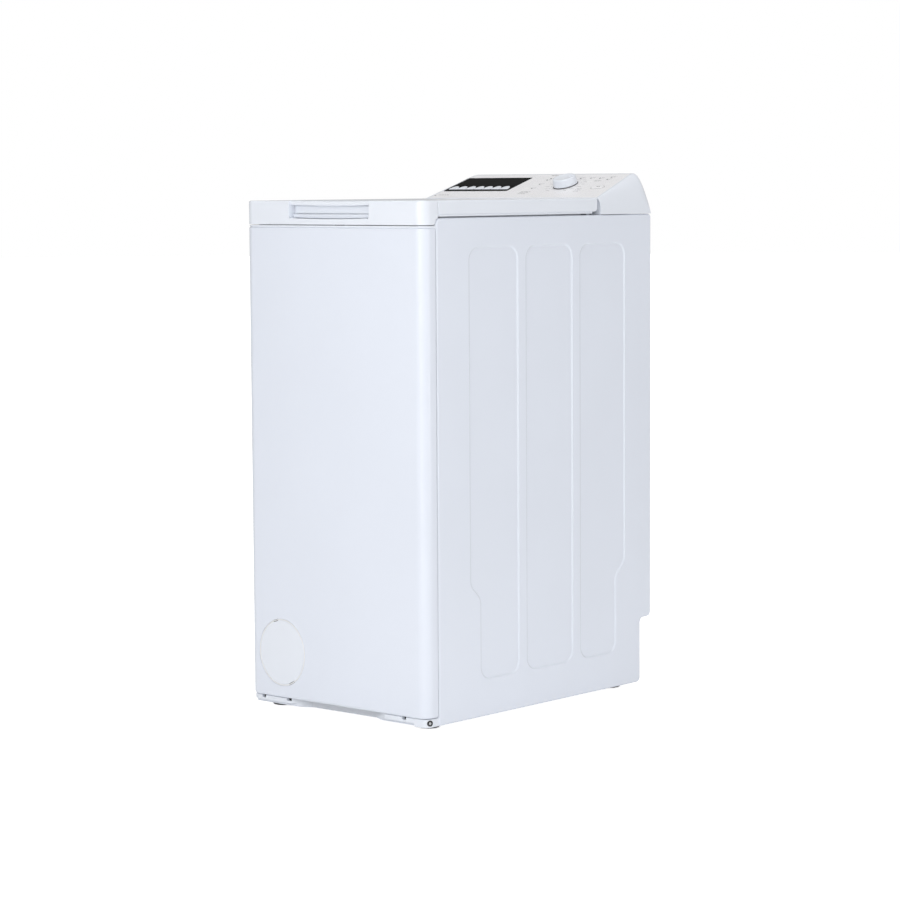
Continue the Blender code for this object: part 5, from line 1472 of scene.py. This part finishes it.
def hanging_parts():
    """Springs, dampers, the concrete weight and the heater."""
    for side, label in ((-1, "left"), (1, "right")):
        low, high, coil, wire_radius, turns, steps = 0.5992, 0.7158, 0.0085, 0.0016, 12, 20
        path = []
        for k in range(turns * steps + 1):
            angle = 2 * pi * k / steps
            z = low + wire_radius + (high - low - 2 * wire_radius) * k / (turns * steps)
            path.append(Vector((side * 0.170 + coil * cos(angle), AXIS[0] + coil * sin(angle), z)))
        shape = wire(path, wire_radius)
        piece(f"spring_{label}_coil", shape, "tub", "stainless_steel", [f"spring_{label}"], 180)
    for label, x, y in (("front", 0.090, -0.120), ("rear", -0.095, 0.030)):
        tube = [(0.0213, 0.0), (0.0213, 0.0160), (0.0223, 0.0170), (0.1040, 0.0170), (0.1050, 0.0160),
                (0.1100, 0.0160), (0.1110, 0.0170), (0.1142, 0.0170), (0.1150, 0.0162), (0.1150, 0.0090),
                (0.0300, 0.0090), (0.0300, 0.0)]
        tube = lathe("z", (x, y), tube, 48, join_ends=False)
        piece(f"damper_{label}_tube", tube, "cabinet", "black_plastic", [f"damper_cylinder_{label}"], 40)
    weight = [(-0.2745, 0.5800), (-0.2745, 0.6870), (-0.1850, 0.6870), *arc(AXIS, 0.2535, 127.8, 146.4, 12)]
    weight = prism("x", weight, -0.125, 0.125)
    bevel(piece("counterweight_block", weight, "tub", "concrete", ["counterweight"]), 0.0050, 3, 40)
    bolts = [screw_head("y", (x, 0.6320), -0.2740, -0.2790, 0.0090) for x in (-0.085, 0.085)]
    piece("counterweight_bolts", merged(*bolts), "tub", "galvanised_steel")
    radius, near, far = (DRUM_RADIUS + TUB_INNER) / 2, 0.040, 0.085
    sweep = [radians(-125 + 65 * k / 24) for k in range(25)]
    path = [Vector((near, AXIS[0] + radius * cos(a), AXIS[1] + radius * sin(a))) for a in sweep]
    for k in range(1, 12):
        angle = pi - pi * k / 12
        lead = sweep[-1] + (far - near) / 2 * sin(angle) / radius
        x = (near + far) / 2 + (far - near) / 2 * cos(angle)
        path.append(Vector((x, AXIS[0] + radius * cos(lead), AXIS[1] + radius * sin(lead))))
    path += [Vector((far, AXIS[0] + radius * cos(a), AXIS[1] + radius * sin(a))) for a in sweep[::-1]]
    piece("heater_tube", wire(path, 0.0040, 12), "tub", "stainless_steel", ["heater"], 180)


def dispenser_skin():
    """The dispenser under the lid: three rounded bays, a siphon cap and their marks."""
    low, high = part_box("detergent_dispenser")
    shape = prism("y", rectangle((low.x, low.z), (high.x, high.z), 0.005), low.y, high.y)
    made = piece("dispenser_tray", shape, "lid", "grey_plastic", ["detergent_dispenser"])
    bays = [rectangle((left, low.z + 0.002), (right, high.z - 0.002), 0.006)
            for left, right in ((-0.108, -0.042), (-0.040, 0.050), (0.052, 0.108))]
    boolean(made, merged(*(prism("y", bay, low.y - 0.01, high.y - 0.002) for bay in bays)))
    flat_shading(bevel(made, 0.0006, 3, 40))
    cap = rectangle((0.0524, low.z + 0.0024), (0.1076, low.z + 0.0200), 0.004)
    cap = prism("y", cap, low.y + 0.001, low.y + 0.003)
    tube = [(low.y, 0.0040), (low.y, 0.0060), (high.y - 0.004, 0.0060), (high.y - 0.004, 0.0040)]
    tube = lathe("y", (0.080, low.z + 0.011), tube, 32)
    bevel(piece("dispenser_siphon", merged(cap, tube), "lid", "white_plastic"), 0.0004, 2)
    marks = []
    for x, bars in ((-0.075, 1), (0.005, 2)):
        for k in range(bars):
            left = x + (k - bars / 2) * 0.005
            marks.append(rectangle((left, -0.050), (left + 0.0018, -0.036), 0.0004))
    marks += [circle(spot, 0.0016, 20) for spot in circle((0.080, -0.043), 0.004, 5)]
    marks = [prism("z", mark, low.z - 0.0001, low.z + 0.0001) for mark in marks]
    piece("dispenser_marks", merged(*marks), "lid", "white_plastic", look=INK)


def board_parts():
    """The keys' switches, the relays, a chip and a connector on the control board."""
    parts = [block((x - 0.003, 0.052, -0.0105), (x + 0.003, 0.058, -0.0080)) for x in BUTTON_XS]
    for k in range(4):
        parts.append(block((0.030 + k * 0.032, 0.088, -0.0105), (0.050 + k * 0.032, 0.106, -0.0060)))
    parts.append(block((-0.012, 0.045, -0.0105), (0.012, 0.069, -0.0085)))
    parts.append(block((-0.150, 0.096, -0.0105), (-0.090, 0.104, -0.0055)))
    bevel(piece("control_board_parts", on_face(merged(*parts)), "cabinet", "black_plastic"), 0.0003, 2)


def filter_plug_skin():
    """The filter's screw plug with its thread and grip."""
    mouth = FRONT + 0.0125
    plug = [(0.0, 0.0), (0.0, 0.0282), (0.0008, 0.0290), (0.0040, 0.0300), (0.0060, 0.0300), (0.0060, 0.0240)]
    for k in range(5):
        plug += beyond(0.0030 * k, [(0.0080, 0.0238), (0.0095, 0.0228)])
    plug += [(0.0250, 0.0225), (0.0545, 0.0200), (0.0550, 0.0195), (0.0550, 0.0)]
    grip = rectangle((mouth - 0.0070, COVER[1] - 0.0035), (mouth + 0.0010, COVER[1] + 0.0035), 0.0015)
    parts = [lathe("y", COVER, beyond(mouth, plug), 64, join_ends=False),
             prism("x", grip, COVER[0] - 0.022, COVER[0] + 0.022)]
    made = piece("filter_plug_body", merged(*parts), "filter_screw", "grey_plastic", ["filter_plug"], 30)
    bevel(made, 0.0006, 2, 50)


def soften_frame():
    """Eases the edges of the CAD solids that stay in view."""
    widths = {"top_frame": 0.0012, "door_lock": 0.0012, "lid_latch_hook": 0.0010, "control_board": 0.0003,
              "pump_housing": 0.0010, "drain_pump": 0.0015, "pump_impeller": 0.0006,
              "damper_rod_front": 0.0006, "damper_rod_rear": 0.0006}
    for name, width in widths.items():
        flat_shading(bevel(frame["nodes"][name], width, 3, 40))


def build():
    """Makes every visible piece round the CAD nodes."""
    front_skin()
    cover_skin()
    for side in (-1, 1):
        side_skin(side)
    lid_skins()
    console_skin()
    fascia_skin()
    keys()
    console_print()
    knob_skin()
    base_skin()
    for stand, x in (("left", -FOOT_X), ("right", FOOT_X)):
        for place, y in FOOT_YS.items():
            foot_skin(place, stand, x, y)
    rear_skin()
    fittings()
    funnel_and_bellows()
    for side in (-1, 1):
        tub_skin(side)
    tub_screws()
    drum_skin()
    flap_skins()
    shaft_skins()
    drive_skins()
    hanging_parts()
    dispenser_skin()
    board_parts()
    filter_plug_skin()
    soften_frame()


# ---------------------------------------------------------------- the machine
camera()
studio()
floor()
dress_frame()
build()
